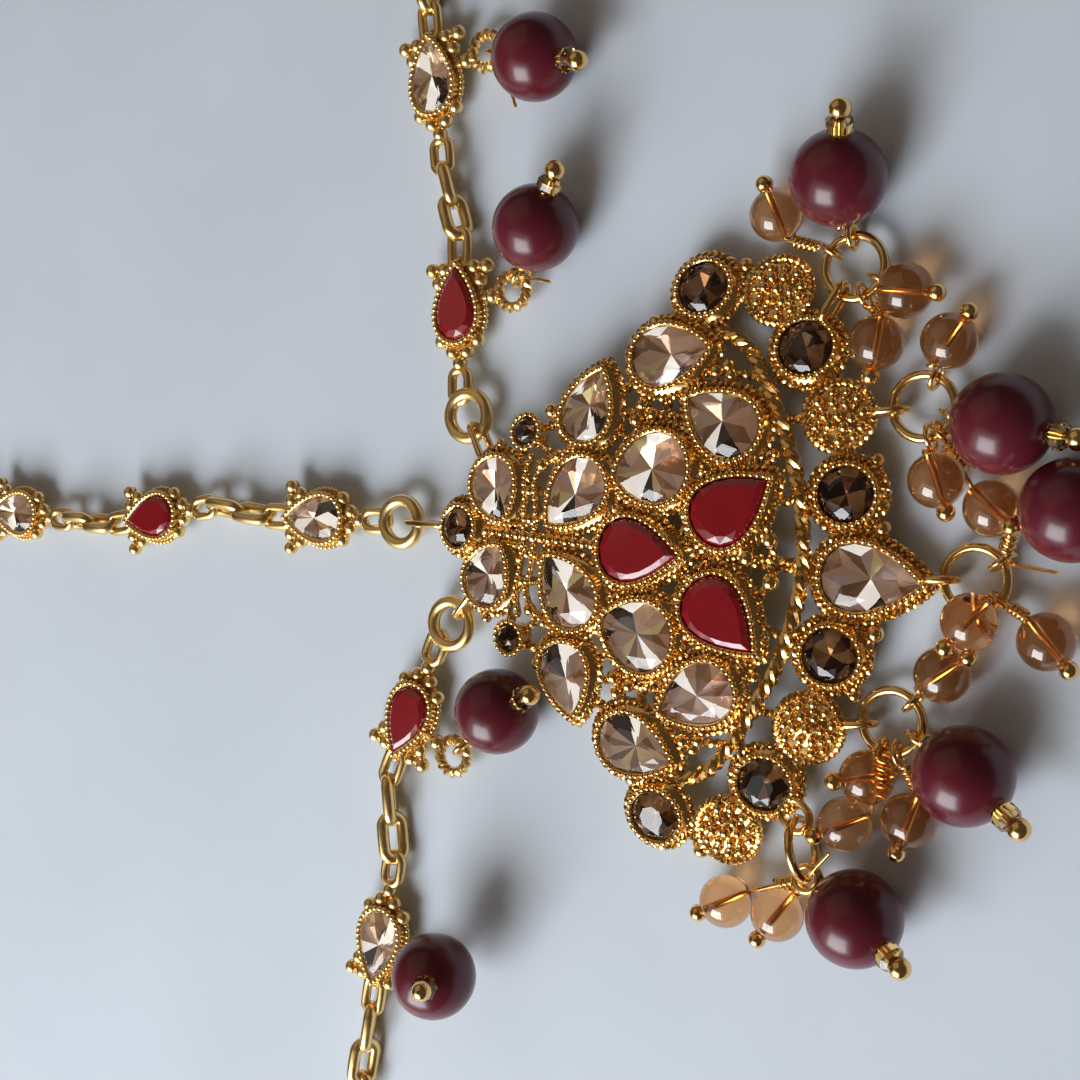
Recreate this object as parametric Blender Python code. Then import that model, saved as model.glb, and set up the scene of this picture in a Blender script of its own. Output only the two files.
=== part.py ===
"""Matha patti: a domed, stone-set drop pendant with fringe beads and three jewelled chains.

The jewel lies face up on a flat surface. +X and -X are the two sides of the pendant,
+Y runs up the centre chain and -Y runs down through the pendant's tip to its fringe.
"""

import math

import bmesh
import bpy
from mathutils import Matrix, Vector

MM = 0.001
WELD = 0.002 * MM

# Pendant plate
PENDANT_HALF_WIDTH = 23.4 * MM
PENDANT_LENGTH = 40.8 * MM
DOME_HEIGHT = 5.5 * MM
DOME_DROP = 2.2 * MM
DOME_CENTRE_SHARE = 0.44

# Collets, the cups that hold the stones
COLLET_HEIGHT = 2.0 * MM
COLLET_WALL = 0.4 * MM
COLLET_FLOOR = 0.45 * MM
COLLET_TAPER = 0.86
STONE_CLEARANCE = 0.2 * MM
GIRDLE_DEPTH = 0.25 * MM
CROWN_HEIGHT = 0.75 * MM
TABLE_SHARE = 0.58
PEAR_SIDES = 10
ROUND_SIDES = 8
MITRE_LIMIT = 0.8

# Openwork between the collets
STRUT_WIDTH = 1.0 * MM
STRUT_HEIGHT = 0.6 * MM
STRUT_LIFT = 0.45 * MM
ROPE_RADIUS = 0.5 * MM
ROPE_LIFT = -1.05 * MM

# Flower domes at the wings
FLOWER_DIAMETER = 6.4 * MM
FLOWER_RIM_HEIGHT = 1.45 * MM
FLOWER_PETALS = 7
FLOWER_SCALLOP = 0.3 * MM
FLOWER_SWELL = 0.55 * MM
FLOWER_HEART_RADIUS = 1.1 * MM

# Wire work
LINK_WIRE = 0.4 * MM
PIN_WIRE = 0.3 * MM
SHANK_WIRE = 0.26 * MM
SOLDER_WIRE = 0.34 * MM
EYELET_WIRE = 0.35 * MM
EYELET_RADIUS = 1.1 * MM
EYE_RADIUS = 1.05 * MM
JUMP_RING_RADIUS = 2.6 * MM
JUMP_RING_HEIGHT = 1.6 * MM
JUMP_RING_REACH = 7.0 * MM
DROP_REACH = 8.0 * MM
LINK_SIDES = 10
WIRE_SIDES = 5
JUMP_RING_SIDES = 10
EYE_SIDES = 8

# Beads
LARGE_BEAD_RADIUS = 4.0 * MM
SMALL_BEAD_RADIUS = 2.3 * MM
SPACER_RADIUS = 1.15 * MM
SPACER_LENGTH = 1.5 * MM
LARGE_BALL_RADIUS = 0.92 * MM
BEAD_SIDES = 10
SPACER_SIDES = 6
BEAD_RINGS = 6
SMALL_BEAD_SIDES = 10
SMALL_BEAD_RINGS = 5

# Chains
CHAIN_HEIGHT = 1.7 * MM
CHAIN_RING_RADIUS = 2.15 * MM
CHAIN_RING_LIFT = 0.13 * MM
STATION_PITCH = 24.0 * MM
STATION_LENGTH = 7.0 * MM
STATION_WIDTH = 4.4 * MM
STATION_BASE = 0.5 * MM
STATION_HEIGHT = 2.1 * MM
STATION_ROUND_REACH = 9.2 * MM
STATION_TIP_REACH = 6.9 * MM
STATION_BALL_RADIUS = 1.1 * MM
STATION_LOOP_RADIUS = 0.95 * MM
SIDE_RING_RADIUS = 1.6 * MM
SIDE_RING_OFFSET = 6.2 * MM
SIDE_RING_ADVANCE = 0.8 * MM
LINK_WIDTH = 2.1 * MM
LINK_PRESS = 0.34 * MM
HOOK_WIRE = 0.55 * MM
HOOK_LENGTH = 10.0 * MM
HOOK_BEND = 1.7 * MM
HOOK_TIP = 4.5 * MM
HOOK_STEPS = 5

# Stone cuts, each with its girdle's length and width and the fullness of a pear
CUTS = {
    "apex_round": {"length": 3.6 * MM, "width": 3.6 * MM, "pear": None},
    "small_round": {"length": 2.5 * MM, "width": 2.5 * MM, "pear": None},
    "outer_round": {"length": 4.5 * MM, "width": 4.5 * MM, "pear": None},
    "short_pear": {"length": 5.8 * MM, "width": 4.9 * MM, "pear": 0.5},
    "long_pear": {"length": 7.1 * MM, "width": 5.25 * MM, "pear": 0.7},
    "slim_pear": {"length": 6.5 * MM, "width": 4.8 * MM, "pear": 0.8},
    "broad_pear": {"length": 6.8 * MM, "width": 6.1 * MM, "pear": 0.4},
    "red_pear": {"length": 7.7 * MM, "width": 5.6 * MM, "pear": 1.0},
    "tip_pear": {"length": 8.0 * MM, "width": 5.5 * MM, "pear": 0.9},
}

# Stones of the pendant: name, cut, place across as a share of the half width, place down
# as a share of the length, heading of the tip in degrees from +X, colour. A row with a
# place across above zero is set twice, once on each side.
STONES = (
    ("apex_stone", "apex_round", 0.0, 0.0, 90, "smoky"),
    ("shoulder_stone", "short_pear", 0.172, 0.100, 205, "clear"),
    ("small_stone", "small_round", 0.410, 0.175, 90, "smoky"),
    ("neck_stone", "long_pear", 0.185, 0.326, 140, "clear"),
    ("edge_stone", "slim_pear", 0.530, 0.336, 345, "clear"),
    ("centre_red_stone", "red_pear", 0.0, 0.502, 270, "red"),
    ("inner_stone", "broad_pear", 0.312, 0.512, 105, "clear"),
    ("wing_stone", "long_pear", 0.741, 0.520, 283, "clear"),
    ("lower_red_stone", "red_pear", 0.205, 0.706, 310, "red"),
    ("fan_stone", "long_pear", 0.508, 0.660, 61, "clear"),
    ("outer_stone_1", "outer_round", 0.995, 0.572, 90, "smoky"),
    ("outer_stone_2", "outer_round", 0.792, 0.819, 90, "smoky"),
    ("outer_stone_3", "outer_round", 0.286, 0.942, 90, "smoky"),
    ("tip_stone", "tip_pear", 0.0, 1.008, 270, "clear"),
)

# Flower domes: name, across, down
FLOWERS = (
    ("upper_flower", 1.0, 0.738),
    ("lower_flower", 0.560, 0.906),
)

# Struts under the openwork, from one seat to the next on the same side
STRUTS = (
    ("apex_stone", "shoulder_stone"),
    ("shoulder_stone", "small_stone"),
    ("shoulder_stone", "neck_stone"),
    ("neck_stone", "edge_stone"),
    ("edge_stone", "wing_stone"),
    ("inner_stone", "centre_red_stone"),
    ("inner_stone", "fan_stone"),
    ("wing_stone", "fan_stone"),
    ("wing_stone", "outer_stone_1"),
    ("lower_red_stone", "fan_stone"),
    ("fan_stone", "outer_stone_2"),
    ("lower_red_stone", "outer_stone_3"),
    ("outer_stone_1", "upper_flower"),
    ("upper_flower", "outer_stone_2"),
    ("outer_stone_2", "lower_flower"),
    ("lower_flower", "outer_stone_3"),
    ("outer_stone_3", "tip_stone"),
    ("apex_stone", "centre_red_stone"),
    ("centre_red_stone", "tip_stone"),
)

# Rope border, one half from the middle outwards: across, down
ROPE_ROUTE = (
    (0.0, 0.868),
    (0.18, 0.857),
    (0.36, 0.829),
    (0.53, 0.785),
    (0.68, 0.737),
    (0.79, 0.688),
    (0.85, 0.620),
)

# Jump rings of the fringe: name, seat that carries it, side, bearing from the seat in degrees
# and distance as a share of the ring reach, height as a share of the ring height, heading of
# the ring's flat side in degrees, its lean from lying flat, and radius as a share
RINGS = (
    ("1", "outer_stone_2", 1, -24.19, 1.0755, 1.0, 0, 0, 1.0),
    ("2", "lower_flower", 1, -79.78, 0.9632, 1.0, 0, 0, 1.0),
    ("3", "tip_stone", 0, -83.64, 1.1606, 0.875, 0, 0, 1.0),
    ("4", "lower_flower", -1, -76.41, 0.9752, 1.0, 0, 0, 1.0),
    ("5", "outer_stone_2", -1, -139.51, 0.8767, 1.8125, 288, 90, 0.9615),
)

# Small beads of the fringe: ring, bearing from the ring's centre in degrees, distance as a
# share of the drop reach, height of the centre as a share of the bead's radius
SMALL_BEADS = (
    ("1", 59.74, 1.0419, 1.0),
    ("1", -111.6, 0.6453, 1.0),
    ("1", -155.7, 0.8504, 1.0),
    ("2", -18.76, 0.6997, 1.0),
    ("2", -161.86, 0.7629, 1.0),
    ("2", -139.03, 1.2582, 1.0),
    ("3", -171.12, 0.4049, 1.4783),
    ("3", -122.41, 0.9328, 1.0),
    ("4", -41.01, 0.762, 1.0),
    ("4", 163.74, 0.625, 1.0),
    ("4", -161.79, 1.0001, 1.0),
    ("4", 162.14, 1.182, 1.0),
    ("5", 132.36, 1.1503, 1.0),
    ("5", 162.96, 0.8106, 1.0),
)

# Large beads of the fringe: ring, bearing and distance as for the small beads, height as a
# share of the bead's radius, heading and rise of the pin
LARGE_BEADS = (
    ("1", 9.87, 0.8754, 1.0, -15, 38),
    ("2", -97.91, 0.9086, 1.0, -97, 8),
    ("3", -50.34, 1.234, 1.0, -95, 5),
    ("4", -111.52, 0.954, 1.0, -119, 16),
    ("5", -128.16, 0.8902, 1.0, -113, 26),
)

# Chains: name, seat that carries it, side, then the stations of the chain.
# A station has its bearing in degrees and its distance as a share of the station pitch, from
# the seat or from the station before it, its own heading in degrees, and its side ring,
# which is 1 to the left of the heading, -1 to the right and 0 for none. The last entry is
# the number of plain links between the last station and the hook.
CHAIN_ROUTES = (
    (
        "centre_chain", "apex_stone", 0,
        ((93.36, 0.8181, 94, 0), (95.42, 0.9919, 103, 0), (94.49, 0.9571, 90, 0)),
        1,
    ),
    (
        "right_chain", "shoulder_stone", 1,
        ((24.09, 0.7839, 6, -1), (13.36, 0.9379, 12, -1)),
        1,
    ),
    (
        "left_chain", "shoulder_stone", -1,
        ((148.3, 0.7676, 162, 1), (176.78, 0.964, 175, 1)),
        2,
    ),
)

# Large beads of the side chains: name, chain, station, bearing and distance from the
# station's side ring, height as a share of the bead's radius, heading and rise of the pin
CHAIN_BEADS = (
    ("chain_bead_1", "right_chain", 0, -32.34, 0.822, 1.0, -34, 23),
    ("chain_bead_2", "right_chain", 1, -101.55, 0.9188, 1.0, -100, 16),
    ("chain_bead_3", "left_chain", 0, -47.29, 1.0462, 1.0, -63, 23),
    ("chain_bead_4", "left_chain", 1, -65.29, 0.5495, 1.6, -76, 63),
)

# Colour, roughness and metallic value of each finish
FINISHES = {
    "gold": ((0.83, 0.55, 0.16, 1.0), 0.22, 1.0),
    "clear": ((0.93, 0.84, 0.74, 1.0), 0.05, 0.0),
    "smoky": ((0.22, 0.13, 0.07, 1.0), 0.06, 0.0),
    "red": ((0.42, 0.01, 0.02, 1.0), 0.14, 0.0),
    "maroon": ((0.20, 0.01, 0.03, 1.0), 0.12, 0.0),
    "champagne": ((0.80, 0.52, 0.34, 1.0), 0.08, 0.0),
}


def dome_height(x, y):
    """Height of the pendant's face above the surface that it lies on."""
    reach = y + DOME_CENTRE_SHARE * PENDANT_LENGTH
    return DOME_HEIGHT - DOME_DROP * (x * x + reach * reach) / PENDANT_HALF_WIDTH ** 2


def dome_frame(across, down, side, heading=90.0):
    """Matrix of a seat on the dome: Z along the dome's normal and X along the heading."""
    x = side * across * PENDANT_HALF_WIDTH
    y = -down * PENDANT_LENGTH
    slope = 2.0 * DOME_DROP / PENDANT_HALF_WIDTH ** 2
    normal = Vector((slope * x, slope * (y + DOME_CENTRE_SHARE * PENDANT_LENGTH), 1.0)).normalized()
    angle = math.radians(heading if side > 0 else 180.0 - heading)
    ahead = Vector((math.cos(angle), math.sin(angle), 0.0))
    ahead = (ahead - normal * ahead.dot(normal)).normalized()
    left = normal.cross(ahead)
    frame = Matrix((ahead, left, normal)).transposed().to_4x4()
    frame.translation = Vector((x, y, dome_height(x, y)))
    return frame


def seat_sides(across):
    """A seat on the axis is set once, any other once on each side."""
    if across == 0.0:
        return (1,)
    return (1, -1)


def sided_name(name, across, side):
    if across == 0.0:
        return name
    return name + ("_right" if side > 0 else "_left")


def outline(length, width, pear):
    """Points of a round or pear outline, with a pear's tip towards +X."""
    sides = ROUND_SIDES if pear is None else PEAR_SIDES
    turns = [2.0 * math.pi * i / sides for i in range(sides)]
    if pear is None:
        return [(0.5 * length * math.cos(t), 0.5 * width * math.sin(t)) for t in turns]
    widest = math.acos(-pear / (2.0 + pear))
    full = math.sin(widest) * math.sin(0.5 * widest) ** pear
    points = []
    for t in turns:
        y = math.sin(t) * abs(math.sin(0.5 * t)) ** pear / full
        points.append((0.5 * length * math.cos(t), 0.5 * width * y))
    return points


def petal_outline():
    """Points of a flower's scalloped outline."""
    count = 2 * FLOWER_PETALS
    petals = []
    for i in range(count):
        turn = 2.0 * math.pi * i / count
        reach = 0.5 * FLOWER_DIAMETER - (i % 2) * FLOWER_SCALLOP
        petals.append((reach * math.cos(turn), reach * math.sin(turn)))
    return petals


def grown(points, margin):
    """An outline set outwards by a margin, with mitred corners."""
    result = []
    for i, here in enumerate(points):
        here = Vector(here)
        first = (here - Vector(points[i - 1])).normalized()
        second = (Vector(points[(i + 1) % len(points)]) - here).normalized()
        outward = Vector((first.y + second.y, -first.x - second.x)).normalized()
        mitre = margin / max(outward.dot(Vector((first.y, -first.x))), MITRE_LIMIT)
        result.append(tuple(here + outward * mitre))
    return result


def loft(sections):
    """Closed mesh through outlines at rising heights. A lone point closes to an apex."""
    mesh = bpy.data.meshes.new("loft")
    shape = bmesh.new()
    rings = [[shape.verts.new(point) for point in section] for section in sections]
    for lower, upper in zip(rings, rings[1:]):
        count = max(len(lower), len(upper))
        for i in range(count):
            j = (i + 1) % count
            if len(lower) == 1:
                shape.faces.new((lower[0], upper[j], upper[i]))
            elif len(upper) == 1:
                shape.faces.new((lower[i], lower[j], upper[0]))
            else:
                shape.faces.new((lower[i], lower[j], upper[j], upper[i]))
    if len(rings[0]) > 1:
        shape.faces.new(list(reversed(rings[0])))
    if len(rings[-1]) > 1:
        shape.faces.new(rings[-1])
    bmesh.ops.recalc_face_normals(shape, faces=shape.faces)
    shape.to_mesh(mesh)
    shape.free()
    return mesh


def level(points, scale, height):
    return [(x * scale, y * scale, height) for x, y in points]


def place(mesh, frame):
    mesh.transform(frame)
    return mesh


def ball(centre, radius):
    """A small soldered granule."""
    mesh = bpy.data.meshes.new("ball")
    shape = bmesh.new()
    bmesh.ops.create_icosphere(shape, subdivisions=1, radius=radius)
    shape.to_mesh(mesh)
    shape.free()
    return place(mesh, Matrix.Translation(centre))


def bead(centre, radius, sides, rings):
    mesh = bpy.data.meshes.new("bead")
    shape = bmesh.new()
    bmesh.ops.create_uvsphere(shape, u_segments=sides, v_segments=rings, radius=radius)
    shape.to_mesh(mesh)
    shape.free()
    return place(mesh, Matrix.Translation(centre))


def rod(start, end, radius, sides):
    """A straight round bar between two points."""
    start, end = Vector(start), Vector(end)
    along = end - start
    mesh = bpy.data.meshes.new("rod")
    shape = bmesh.new()
    bmesh.ops.create_cone(
        shape, cap_ends=True, segments=sides, radius1=radius, radius2=radius, depth=along.length
    )
    shape.to_mesh(mesh)
    shape.free()
    turn = along.to_track_quat("Z", "Y").to_matrix().to_4x4()
    return place(mesh, Matrix.Translation(0.5 * (start + end)) @ turn)


def bar(start, end, width, height):
    """A flat strut between two points, lying on its width."""
    start, end = Vector(start), Vector(end)
    along = end - start
    mesh = bpy.data.meshes.new("bar")
    shape = bmesh.new()
    bmesh.ops.create_cube(shape, size=1.0)
    bmesh.ops.scale(shape, vec=(along.length, width, height), verts=shape.verts)
    shape.to_mesh(mesh)
    shape.free()
    turn = along.to_track_quat("X", "Z").to_matrix().to_4x4()
    return place(mesh, Matrix.Translation(0.5 * (start + end)) @ turn)


def ring(centre, along, normal, radius, wire, sides=LINK_SIDES, stretch=0.0):
    """A wire ring, or an oval link when stretch parts its two halves along its length."""
    normal = Vector(normal).normalized()
    along = Vector(along)
    along = (along - normal * along.dot(normal)).normalized()
    bpy.ops.mesh.primitive_torus_add(
        major_segments=sides, minor_segments=WIRE_SIDES, major_radius=radius, minor_radius=wire
    )
    made = bpy.context.active_object
    mesh = made.data
    bpy.data.objects.remove(made)
    for vertex in mesh.vertices:
        vertex.co.x += math.copysign(0.5 * stretch, vertex.co.x)
    frame = Matrix((along, normal.cross(along), normal)).transposed().to_4x4()
    frame.translation = Vector(centre)
    return place(mesh, frame)


def wire_along(points, radius, resolution=1):
    """A bent wire with filled caps, as a closed mesh."""
    curve = bpy.data.curves.new("wire", "CURVE")
    curve.dimensions = "3D"
    curve.bevel_depth = radius
    curve.bevel_resolution = resolution
    curve.use_fill_caps = True
    spline = curve.splines.new("POLY")
    spline.points.add(len(points) - 1)
    for slot, point in zip(spline.points, points):
        slot.co = (*point, 1.0)
    holder = bpy.data.objects.new("wire", curve)
    bpy.context.scene.collection.objects.link(holder)
    bpy.context.view_layer.update()
    mesh = bpy.data.meshes.new_from_object(holder.evaluated_get(bpy.context.evaluated_depsgraph_get()))
    bpy.data.objects.remove(holder)
    shape = bmesh.new()
    shape.from_mesh(mesh)
    bmesh.ops.remove_doubles(shape, verts=shape.verts, dist=1e-6)
    bmesh.ops.recalc_face_normals(shape, faces=shape.faces)
    shape.to_mesh(mesh)
    shape.free()
    return mesh


def fill_pockets(shape):
    """Fills each sealed pocket that solder would fill between the pieces it joins."""
    waiting = set(shape.faces)
    while waiting:
        shell = set()
        edge_of_shell = [waiting.pop()]
        while edge_of_shell:
            face = edge_of_shell.pop()
            shell.add(face)
            for edge in face.edges:
                for other in edge.link_faces:
                    if other in waiting:
                        waiting.discard(other)
                        edge_of_shell.append(other)
        volume = 0.0
        for face in shell:
            centre = face.calc_center_median()
            volume += face.calc_area() * face.normal.dot(centre)
        if volume <= 0.0:
            bmesh.ops.delete(shape, geom=list(shell), context="FACES")


def joined(meshes, cutters=()):
    """One closed body: the union of the meshes, less the cutters."""
    scene_objects = bpy.context.scene.collection
    first = bpy.data.objects.new("joined", meshes[0])
    scene_objects.objects.link(first)
    groups = []
    for operation, operands in (("UNION", meshes[1:]), ("DIFFERENCE", cutters)):
        if not operands:
            continue
        group = bpy.data.collections.new(operation.lower())
        scene_objects.children.link(group)
        groups.append(group)
        for mesh in operands:
            group.objects.link(bpy.data.objects.new("operand", mesh))
        boolean = first.modifiers.new(operation.lower(), "BOOLEAN")
        boolean.operation = operation
        boolean.operand_type = "COLLECTION"
        boolean.collection = group
        boolean.solver = "EXACT"
    bpy.context.view_layer.update()
    result = bpy.data.meshes.new_from_object(first.evaluated_get(bpy.context.evaluated_depsgraph_get()))
    bpy.data.objects.remove(first)
    for group in groups:
        for operand in list(group.objects):
            bpy.data.objects.remove(operand)
        bpy.data.collections.remove(group)
    shape = bmesh.new()
    shape.from_mesh(result)
    bmesh.ops.remove_doubles(shape, verts=shape.verts, dist=WELD)
    bmesh.ops.dissolve_degenerate(shape, edges=shape.edges, dist=WELD)
    fill_pockets(shape)
    shape.to_mesh(result)
    shape.free()
    return result


def finish(name):
    material = bpy.data.materials.new(name)
    material.use_nodes = True
    colour, roughness, metallic = FINISHES[name.split(".")[0].split("_of_")[0]]
    shader = material.node_tree.nodes["Principled BSDF"]
    shader.inputs["Base Color"].default_value = colour
    shader.inputs["Roughness"].default_value = roughness
    shader.inputs["Metallic"].default_value = metallic
    material.diffuse_color = colour
    return material


def add_part(name, mesh, finish_name, collection, stand):
    """A named piece of the jewel with its own material."""
    mesh.name = name
    mesh.materials.clear()
    mesh.materials.append(finish(finish_name + "_of_" + name))
    mesh.shade_smooth()
    mesh.set_sharp_from_angle(angle=math.radians(35.0))
    part = bpy.data.objects.new(name, mesh)
    collection.objects.link(part)
    part.parent = stand
    return part


def collect_seats():
    """Every stone seat and flower seat of the pendant, by name and side."""
    seats = {}
    for name, cut, across, down, heading, colour in STONES:
        for side in seat_sides(across):
            size = CUTS[cut]
            seats[sided_name(name, across, side)] = {
                "frame": dome_frame(across, down, side, heading),
                "length": size["length"],
                "width": size["width"],
                "pear": size["pear"],
                "colour": colour,
                "rim": grown(
                    outline(size["length"], size["width"], size["pear"]), STONE_CLEARANCE + COLLET_WALL
                ),
            }
    for name, across, down in FLOWERS:
        for side in seat_sides(across):
            seats[sided_name(name, across, side)] = {
                "frame": dome_frame(across, down, side),
                "colour": None,
                "rim": petal_outline(),
            }
    return seats


def collet(seat):
    """The solid cup under a stone, before its recess is cut."""
    sections = (level(seat["rim"], COLLET_TAPER, -COLLET_HEIGHT), level(seat["rim"], 1.0, 0.0))
    return place(loft(sections), seat["frame"])


def recess(seat):
    """What is cut from the cup to seat its stone."""
    hole = grown(outline(seat["length"], seat["width"], seat["pear"]), STONE_CLEARANCE)
    floor = COLLET_FLOOR - COLLET_HEIGHT
    sections = (
        level(hole, COLLET_TAPER, floor),
        level(hole, 1.0, 0.0),
        level(hole, 1.0, 2.0 * COLLET_HEIGHT),
    )
    return place(loft(sections), seat["frame"])


def cut_stone(seat):
    """A stone with a point below, facets round its crown and a flat table on top."""
    girdle = outline(seat["length"], seat["width"], seat["pear"])
    culet = COLLET_FLOOR - COLLET_HEIGHT + STONE_CLEARANCE
    sections = (
        [(0.0, 0.0, culet)],
        level(girdle, 1.0, -GIRDLE_DEPTH),
        level(girdle, TABLE_SHARE, CROWN_HEIGHT - GIRDLE_DEPTH),
    )
    return place(loft(sections), seat["frame"])


def flower(seat):
    """A scalloped round of petals with a swelling heart."""
    top = FLOWER_RIM_HEIGHT - COLLET_HEIGHT
    sections = (
        level(seat["rim"], COLLET_TAPER, -COLLET_HEIGHT),
        level(seat["rim"], 1.0, top),
        level(seat["rim"], TABLE_SHARE, top + FLOWER_SWELL),
    )
    heart = seat["frame"] @ Vector((0.0, 0.0, top + FLOWER_SWELL))
    return [place(loft(sections), seat["frame"]), ball(heart, FLOWER_HEART_RADIUS)]


def seat_key(seats, name, side):
    for key in (name, name + ("_right" if side >= 0 else "_left")):
        if key in seats:
            return key
    raise KeyError(name)


def wall_towards(seat, target, height):
    """The middle of a seat's wall at a height, on the side that faces a target."""
    aim = seat["frame"].inverted() @ target
    heading = math.atan2(aim.y, aim.x)
    ahead = Vector((math.cos(heading), math.sin(heading)))
    reach = 0.0
    for i, corner in enumerate(seat["rim"]):
        start = Vector(seat["rim"][i - 1])
        side = Vector(corner) - start
        across = ahead.x * side.y - ahead.y * side.x
        if across <= 0.0:
            continue
        along = (start.x * side.y - start.y * side.x) / across
        share = (start.x * ahead.y - start.y * ahead.x) / across
        if 0.0 <= share <= 1.0:
            reach = max(reach, along)
    taper = 1.0 + (COLLET_TAPER - 1.0) * -height / COLLET_HEIGHT
    reach = reach * taper - 0.5 * COLLET_WALL
    return seat["frame"] @ Vector((ahead.x * reach, ahead.y * reach, height))


def struts(seats):
    solids = []
    height = STRUT_LIFT - COLLET_HEIGHT
    done = set()
    for start, end in STRUTS:
        for side in (1, -1):
            pair = (seat_key(seats, start, side), seat_key(seats, end, side))
            if pair in done:
                continue
            done.add(pair)
            first, second = seats[pair[0]], seats[pair[1]]
            ends = (
                wall_towards(first, second["frame"].translation, height),
                wall_towards(second, first["frame"].translation, height),
            )
            solids.append(bar(ends[0], ends[1], STRUT_WIDTH, STRUT_HEIGHT))
    return solids


def dome_point(across, down, side, lift):
    return dome_frame(across, down, side) @ Vector((0.0, 0.0, lift))


def rope_border():
    half = [dome_point(across, down, 1, ROPE_LIFT) for across, down in ROPE_ROUTE]
    other = [Vector((-p.x, p.y, p.z)) for p in reversed(half[1:])]
    return wire_along(other + half, ROPE_RADIUS)


def ring_normal(heading, lean):
    """Normal of a ring that leans from lying flat towards a heading."""
    turn, tilt = math.radians(heading), math.radians(lean)
    return Vector((math.cos(turn) * math.sin(tilt), math.sin(turn) * math.sin(tilt), math.cos(tilt)))


def nearest_on_ring(centre, normal, radius, target):
    """The point of a ring that is nearest a target, and the ring's direction there."""
    spoke = target - centre
    spoke = (spoke - normal * spoke.dot(normal)).normalized()
    return centre + radius * spoke, normal.cross(spoke)


def eyelet(seat, centre, normal, radius):
    """A soldered loop that reaches from a seat's wall round a ring's wire."""
    base = seat["frame"] @ Vector((0.0, 0.0, -0.5 * COLLET_HEIGHT))
    hooked, tangent = nearest_on_ring(centre, normal, radius, base)
    foot = wall_towards(seat, hooked, -0.5 * COLLET_HEIGHT)
    away = hooked - foot
    away = (away - tangent * away.dot(tangent)).normalized()
    far = hooked + away * EYELET_RADIUS
    spare = max((far - foot).length - 2.0 * EYELET_RADIUS, 0.0)
    middle = far - away * (EYELET_RADIUS + 0.5 * spare)
    return ring(middle, away, tangent, EYELET_RADIUS, EYELET_WIRE, stretch=spare)


def reached(start, bearing, distance, height):
    """The point at a height that lies a distance from a start along a bearing."""
    end = start + heading_vector(bearing) * distance
    end.z = height
    return end


def fringe_rings(seats):
    rings = {}
    for name, seat, side, bearing, reach, height, heading, lean, share in RINGS:
        start = seats[seat_key(seats, seat, side)]["frame"].translation
        rings[name] = {
            "seat": seat,
            "side": side,
            "centre": reached(start, bearing, reach * JUMP_RING_REACH, height * JUMP_RING_HEIGHT),
            "normal": ring_normal(heading, lean),
            "radius": share * JUMP_RING_RADIUS,
        }
    return rings


def chain_stations(seats):
    """Each chain's stations, with the place of each on the surface."""
    chains = {}
    for name, seat, side, stations, spare_links in CHAIN_ROUTES:
        spot = seats[seat_key(seats, seat, side)]["frame"].translation
        chains[name] = []
        for bearing, reach, heading, side_ring in stations:
            spot = reached(spot, bearing, reach * STATION_PITCH, CHAIN_HEIGHT)
            chains[name].append((spot, heading, side_ring))
    return chains


def chain_ring_places(seats):
    """Centre of each chain's first ring, which hangs in the pendant's eyelet."""
    places = {}
    chains = chain_stations(seats)
    for name, seat, side, stations, spare_links in CHAIN_ROUTES:
        joint = station_joints(chains[name][0])[0]
        base = seats[seat_key(seats, seat, side)]["frame"].translation.copy()
        base.z = joint.z
        away = (joint - base).normalized()
        places[name] = joint - away * (CHAIN_RING_RADIUS - LINK_WIRE + 0.5 * LINK_PRESS)
        places[name].z += CHAIN_RING_LIFT
    return places


def pendant_frame(seats):
    """The one soldered casting: collets, flowers, struts, rope border and eyelets."""
    solids = []
    cutters = []
    for seat in seats.values():
        if seat["colour"] is None:
            solids.extend(flower(seat))
        else:
            solids.append(collet(seat))
            cutters.append(recess(seat))
    solids.extend(struts(seats))
    solids.append(rope_border())
    for hoop in fringe_rings(seats).values():
        seat = seats[seat_key(seats, hoop["seat"], hoop["side"])]
        solids.append(eyelet(seat, hoop["centre"], hoop["normal"], hoop["radius"]))
    for name, seat, side, stations, spare_links in CHAIN_ROUTES:
        centre = chain_ring_places(seats)[name]
        seat = seats[seat_key(seats, seat, side)]
        solids.append(eyelet(seat, centre, Vector((0.0, 0.0, 1.0)), CHAIN_RING_RADIUS))
    return joined(solids, cutters)


def heading_vector(heading, rise=0.0):
    turn, tilt = math.radians(heading), math.radians(rise)
    return Vector((math.cos(turn) * math.cos(tilt), math.sin(turn) * math.cos(tilt), math.sin(tilt)))


def small_drop(hoop, centre):
    """A small bead with its pin soldered to the ring."""
    hooked, tangent = nearest_on_ring(hoop["centre"], hoop["normal"], hoop["radius"], centre)
    return [
        bead(centre, SMALL_BEAD_RADIUS, SMALL_BEAD_SIDES, SMALL_BEAD_RINGS),
        rod(hooked, centre, SHANK_WIRE, WIRE_SIDES),
    ]


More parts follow.
